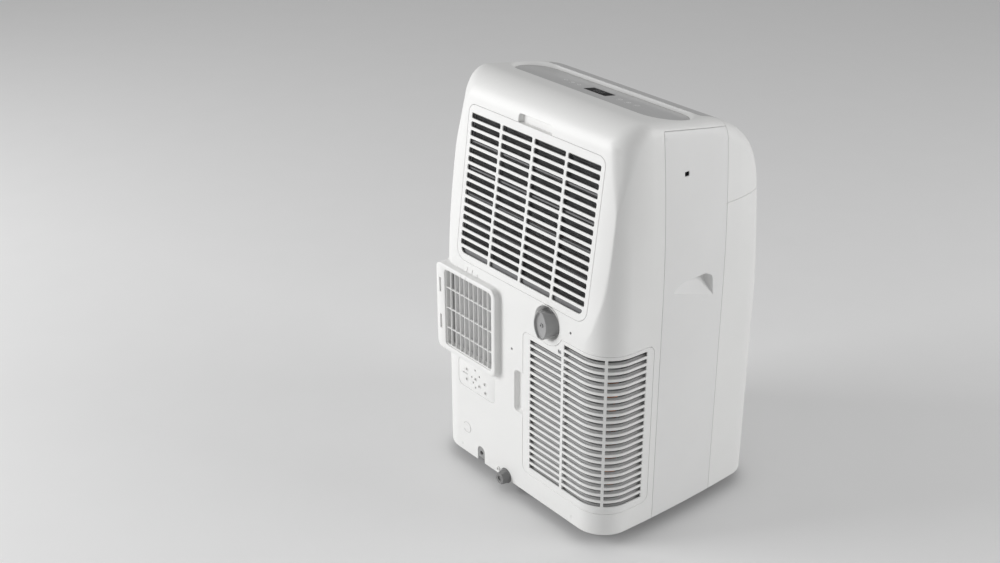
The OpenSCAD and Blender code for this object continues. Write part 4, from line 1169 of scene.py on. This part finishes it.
flange = [(14.0, 197.6), (14.5, 198.0), (14.4, 200.4), (13.6, 201.0)]
plug = loft("plug", [at_y(circle(*SPOUT, r, 64), y) for r, y in flange])
barrel = loft("barrel", [at_y([(SPOUT[0] + r * math.cos(a), SPOUT[1] + r * math.sin(a))
                               for a in np.radians(22.5 + 45 * np.arange(8))], y)
                         for r, y in ((14.0, 200.0), (12.3, 212.9), (11.4, 214.2))])
bevelled(barrel, 0.7, 30, 3)
boolean(plug, barrel, "UNION")
boolean(plug, lathe("bore", [(7.05, 196.5), (7.05, 209)], *SPOUT, close=False))
boolean(plug, lathe("well", [(4.6, 211.4), (4.9, 213.6), (5.8, 214.4), (6.5, 216)], *SPOUT, close=False))
dress(smooth(plug, 28), "plug_rubber", "drain_plug", "drain_plug")

EYE = (50.0, 34.0, 3.7, 1.15)        # tether eye: middle x and z, radius of the ring and of its strand
ring_loops = []
for a in np.linspace(0, 2 * math.pi, 37)[:-1]:
    strand = [(EYE[2] + EYE[3] * math.cos(b), EYE[3] * math.sin(b))
              for b in np.linspace(0, 2 * math.pi, 13)[:-1]]
    ring_loops.append([(EYE[0] + r * math.cos(a), REAR_Y + 1.0 + rise, EYE[1] + r * math.sin(a))
                       for r, rise in strand])
dress(smooth(loft("tether", ring_loops, close=True), 60), "white_plastic", "root", "plug_tether")


# ---- Build: screws -----------------------------------------------------------------------------------
def screw(name, x, z, y, r):
    """Pan-head screw with a cross recess; y is the top of its head."""
    profile = [(1.5, y - 10), (1.5, y - 1.8), (r, y - 1.7), (r, y - 0.7), (r * 0.8, y - 0.15), (r * 0.45, y)]
    head = lathe(name, profile, x, z, 36, close=False)
    for w, h in ((r * 1.15, 0.45), (0.45, r * 1.15)):
        boolean(head, loft("cross", [at_y(rounded_loop(x - w / 2, z - h / 2, x + w / 2, z + h / 2, 0.1), v)
                                     for v in (y - 0.8, y + 1)]))
    return smooth(head, 30)


for i, (x, z) in enumerate(REAR_SCREWS):
    dress(screw(f"case_screw_{i}", x, z, REAR_Y - 1.6, 2.2), "screw_steel", "root", "case_screws")
dress(screw("panel_screw", *GRILLE_SCREW, REAR_Y - 0.9, 3.6), "screw_steel", "lower_grille", "grille_screw")

# ---- Build: control panel ----------------------------------------------------------------------------
PANEL_EDGE = ((-0.4, 8.6), (-0.4, 6.5), (-0.6, 6.15), (-1.1, 6.0))
panel = loft("touch_panel", [on_top(stadium(g, 28), d) for g, d in PANEL_EDGE])
DISPLAY = (-27.0, 1.0, 27.0, 27.0)
boolean(panel, loft("window", [on_top(rounded_loop(*DISPLAY, 1.5, grow=0.15), d) for d in (4, 7.6)]))
dress(smooth(panel, 30), "control_plastic", "root", "control_panel")
LENS_EDGE = ((0.0, 7.5), (0.0, 6.25), (-0.2, 6.02), (-0.5, 5.98))
lens = loft("display", [on_top(rounded_loop(*DISPLAY, 1.5, grow=g), d) for g, d in LENS_EDGE])
dress(smooth(lens, 30), "display_black", "root", "display_lens")


def digit_bars(x, y, w, h):
    """Seven-bar figure, all bars."""
    t = 0.9
    gap = 0.4
    bars = [(x + gap, v, x + w - gap, v + t) for v in (y + h - t, y + h / 2 - t / 2, y)]
    for u in (x, x + w):
        bars += [(u - t / 2, y + t, u + t / 2, y + h / 2 - gap),
                 (u - t / 2, y + h / 2 + gap, u + t / 2, y + h - t)]
    return bars


marks = [loft_data([on_top(rounded_loop(*b, 0.3, steps=2), d) for d in (6.4, 5.95)])
         for x in (-9.0, 3.0) for b in digit_bars(x, 8.0, 6.5, 12.0)]
dress(joined("figures", marks), "display_black", "root", mat=FIGURE_GREY)
icons = []
ROUND_ICONS, SQUARE_ICONS, ICON_Y, LAMP_Y = (84, 66, 50), (-52, -72, -92), 15, 24
for x in ROUND_ICONS:
    icons.append([circle(x, ICON_Y, 3.6, 28), circle(x, ICON_Y, 2.7, 28)])
for x in SQUARE_ICONS:
    icons.append([rounded_loop(x - half, ICON_Y - half, x + half, ICON_Y + half, r)
                  for half, r in ((3.6, 1.4), (2.7, 1.0))])
parts = [loft_data([on_top(outer, 6.3), on_top(outer, 5.94), on_top(inner, 5.94), on_top(inner, 6.3)],
                   close=True) for outer, inner in icons]
points = [(x, LAMP_Y, 0.8) for x in ROUND_ICONS + SQUARE_ICONS]
points += [(x, ICON_Y, 1.0) for x in (ROUND_ICONS[1], SQUARE_ICONS[1])]
dots = [loft_data([on_top(circle(x, y, r, 16), d) for d in (6.3, 5.94)]) for x, y, r in points]
dress(joined("icons", parts + dots), "control_plastic", "root", mat=ICON_WHITE)

# ---- Build: sensor window ----------------------------------------------------------------------------
sensor_x = float(on_x([SENSOR[0]], [SENSOR[1]], -1)[0][0])
y, z = SENSOR
glass = [(d, rounded_loop(y - 4.8 + g, z - 3.8 + g, y + 4.8 - g, z + 3.8 - g, 1.0))
         for g, d in ((0, 8), (0, 1.1), (0.3, 0.8))]
sensor = loft("sensor", [[(sensor_x + d, v, w) for v, w in loop] for d, loop in glass])
dress(smooth(sensor, 30), "display_black", "root", "sensor_window")


# ---- Build: second layer behind the lower grille -------------------------------------------------------
def wall_strip(s0, s1, z0, z1, d0, d1, step=3.0):
    """Bar that follows the wall at a depth, from s0 to s1 along it."""
    n = max(2, int((s1 - s0) / step))
    loops = []
    for s in np.linspace(s0, s1, n):
        x, y = wall_point(s)
        g = gradient(np.array([[x, y, 200.0]]))[0]
        loops.append([(x - g[0] * d, y - g[1] * d, z) for d, z in ((d0, z0), (d1, z0), (d1, z1), (d0, z1))])
    return loft_data(loops)


end = wall_length(103.0)
layer = []
for row in range(LOWER_ROWS + 2):
    z = LOWER_FIRST + row * LOWER_PITCH - 5.6
    layer.append(wall_strip(33.0 if row < LOWER_ROWS else 122.0, end, z - 2.5, z + 2.5, 6.6, 9.1))
uprights = [wall_strip(s - 2, s + 2, LOWER_FIRST - 10, LOWER_FIRST + 272, 7.6, 10.6, 4)
            for s in (34.0, MULLION_S, end - 2)]
uprights += [wall_strip(121.0, 125.0, LOWER_FIRST - 10, LOWER_FIRST + 284, 7.6, 10.6, 4)]
second = joined("second_layer", layer)
boolean(second, joined("uprights", uprights), "UNION")
dress(smooth(second, 30), "filter_mesh", "lower_grille", "lower_filter", mat=BAR_GREY)


# ---- Build: dust filter and coils ------------------------------------------------------------------------
def leaning_box(x0, v0, x1, v1, d0, d1):
    """Box under the leaning rear face between two heights of that face and two depths."""
    return loft_data([on_lean([(x0, v0), (x1, v0), (x1, v1), (x0, v1)], d) for d in (d0, d1)])


def leaning_screen():
    rails = [(-164, 436, 164, 452), (-164, 694, 164, 702), (-164, 452, -160, 694), (160, 452, 164, 694)]
    rails += [(-160 + 80 * i - 2, 452, -160 + 80 * i + 2, 694) for i in (1, 2, 3)]
    rails += [(-160, v, 160, v + 3) for v in (500, 548, 596, 644)]
    frame_parts = joined("rails", [leaning_box(*a, 5.0, 8.5) for a in rails[:2]])
    upright = [leaning_box(x0, v0 - 0.6, x1, v1 + 0.6, 5.2, 8.3) for x0, v0, x1, v1 in rails[2:7]]
    boolean(frame_parts, joined("rails", upright), "UNION")
    level = [leaning_box(x0 - 0.5, v0, x1 + 0.5, v1, 5.4, 8.1) for x0, v0, x1, v1 in rails[7:]]
    boolean(frame_parts, joined("rails", level), "UNION")
    return frame_parts


dress(smooth(leaning_screen(), 30), "filter_mesh", "upper_grille", "upper_filter")
cloth = [leaning_box(x - 0.3, 452, x + 0.3, 694, 7.0, 7.6) for x in np.arange(-159, 160, 3.2)]
cloth += [leaning_box(-160, v - 0.3, 160, v + 0.3, 6.7, 7.3) for v in np.arange(453, 694, 3.2)]
dress(joined("filter_cloth", cloth), "filter_mesh", "upper_grille", mat=CLOTH_DARK)


FIN_PITCH, FIN_HALF = 3.0, 0.25
TUBE_R, TUBE_PITCH, FIRST_TUBE, BEND_R = 4.0, 25.0, 16.0, 7.0


def coil(name, node, x0, x1, y0, y1, z0, z1):
    """Fin-and-tube block: thin fins, end plates, tubes and return bends."""
    fins = [box_part((x - FIN_HALF, y0, z0), (x + FIN_HALF, y1, z1))
            for x in np.arange(x0 + 2, x1 - 1, FIN_PITCH)]
    dress(joined(name + "_fins", fins), "fin_aluminium", "root", node)
    ends = (x0 - 3, x1 + 1)
    plates = joined(name + "_plates", [box_part((x, y0 - 2, z0), (x + 2, y1 + 2, z1)) for x in ends])
    bevelled(plates, 0.4)
    dress(plates, "fin_aluminium", "root", node)
    levels = [z0 + FIRST_TUBE + TUBE_PITCH * i for i in range(int((z1 - z0 - 20) // TUBE_PITCH))]
    mid = (y0 + y1) / 2
    tubes = []
    turn = np.linspace(0, 2 * math.pi, 17)[:-1]
    for y in (mid - BEND_R, mid + BEND_R):
        for z in levels:
            tubes.append(loft_data([[(x, y + TUBE_R * math.cos(a), z + TUBE_R * math.sin(a)) for a in turn]
                                    for x in (x0 - 5, x1 + 5)]))
    dress(smooth(joined(name + "_tubes", tubes), 30), "pipe_copper", "root", node)
    bends = []
    for z in levels:
        for x, out in ((x0 - 5, -1), (x1 + 5, 1)):
            loops = []
            for t in np.linspace(0, math.pi, 9):
                u = np.array([out * math.sin(t), -math.cos(t), 0])
                c = np.array([x, mid, z]) + BEND_R * u
                loops.append([tuple(c + TUBE_R * math.cos(a) * u + np.array([0, 0, TUBE_R * math.sin(a)]))
                              for a in turn])
            bends.append(loft_data(loops))
    dress(smooth(joined(name + "_bends", bends), 40), "pipe_copper", "root", node)


coil("cold_coil", "evaporator_coil", -150, 150, 118, 144, 440, 690)
coil("warm_coil", "condenser_coil", -186, -30, 128, 164, 70, 345)

# ---- Carried-over CAD nodes get their finish --------------------------------------------------------
SOFT_EDGES = {"base_tray": 0.8, "compressor": 2.5, "accumulator": 2.5, "evaporator_motor": 1.5,
              "condenser_motor": 1.5}
for sub in frame["record"]["subparts"]:
    node = frame["nodes"][sub["node"]]
    node.data.materials.clear()
    node.data.materials.append(MATERIALS[sub["material_slot"]])
    weld = node.modifiers.new("weld", "WELD")
    weld.merge_threshold = 0.00001
    edges = node.modifiers.new("edges", "BEVEL")
    edges.width = SOFT_EDGES.get(sub["node"], 0.4) * MM
    edges.segments = 2
    edges.limit_method = "ANGLE"
    edges.angle_limit = math.radians(40)

frame["nodes"]["cord_grommet"].data.materials[0] = GLAND_GREY

# ---- Floor, light and camera ------------------------------------------------------------------------
floor_mat = material("floor", (0.88, 0.88, 0.88), 0.6, 0.0, 50, 0.004)
bpy.ops.mesh.primitive_plane_add(size=14)
floor = bpy.context.object
floor.name = "floor"
floor.data.materials.append(floor_mat)

world = bpy.data.worlds.new("studio")
bpy.context.scene.world = world
world.use_nodes = True
world.node_tree.nodes["Background"].inputs["Color"].default_value = (1, 1, 1, 1)
world.node_tree.nodes["Background"].inputs["Strength"].default_value = 0.36


def area_light(name, place, target, size, power):
    light = bpy.data.lights.new(name, "AREA")
    light.energy, light.shape, light.size, light.size_y = power, "RECTANGLE", size[0], size[1]
    obj = bpy.data.objects.new(name, light)
    obj.location = place
    obj.rotation_euler = (Vector(target) - Vector(place)).to_track_quat("-Z", "Y").to_euler()
    bpy.context.scene.collection.objects.link(obj)


area_light("key", (2.4, 3.2, 1.5), (0, 0, 0.4), (2.0, 2.0), 112)
area_light("top", (0.3, -0.6, 3.4), (0, 0, 0.4), (2.2, 2.2), 6)
area_light("side", (-3.0, -2.4, 1.5), (0, 0, 0.4), (2.0, 2.0), 56)

CAMERA_AZ, CAMERA_EL, CAMERA_ROLL = math.radians(230.846), math.radians(26.383), math.radians(-0.240)
CAMERA_PLACE = (-1.6402, 1.5694 + CASING_Y * MM, 1.5043)
camera = bpy.data.objects.new("camera", bpy.data.cameras.new("camera"))
back = Vector((math.sin(CAMERA_AZ) * math.cos(CAMERA_EL), -math.cos(CAMERA_AZ) * math.cos(CAMERA_EL),
               math.sin(CAMERA_EL)))
right = Vector((0, 0, 1)).cross(back).normalized()
up = back.cross(right)
right, up = (right * math.cos(CAMERA_ROLL) + up * math.sin(CAMERA_ROLL),
             up * math.cos(CAMERA_ROLL) - right * math.sin(CAMERA_ROLL))
camera.matrix_world = Matrix.Translation(CAMERA_PLACE) @ Matrix((right, up, back)).transposed().to_4x4()
camera.data.sensor_width, camera.data.lens = 36, 50.07
bpy.context.scene.collection.objects.link(camera)
bpy.context.scene.camera = camera
bpy.context.scene.view_settings.view_transform = "Standard"
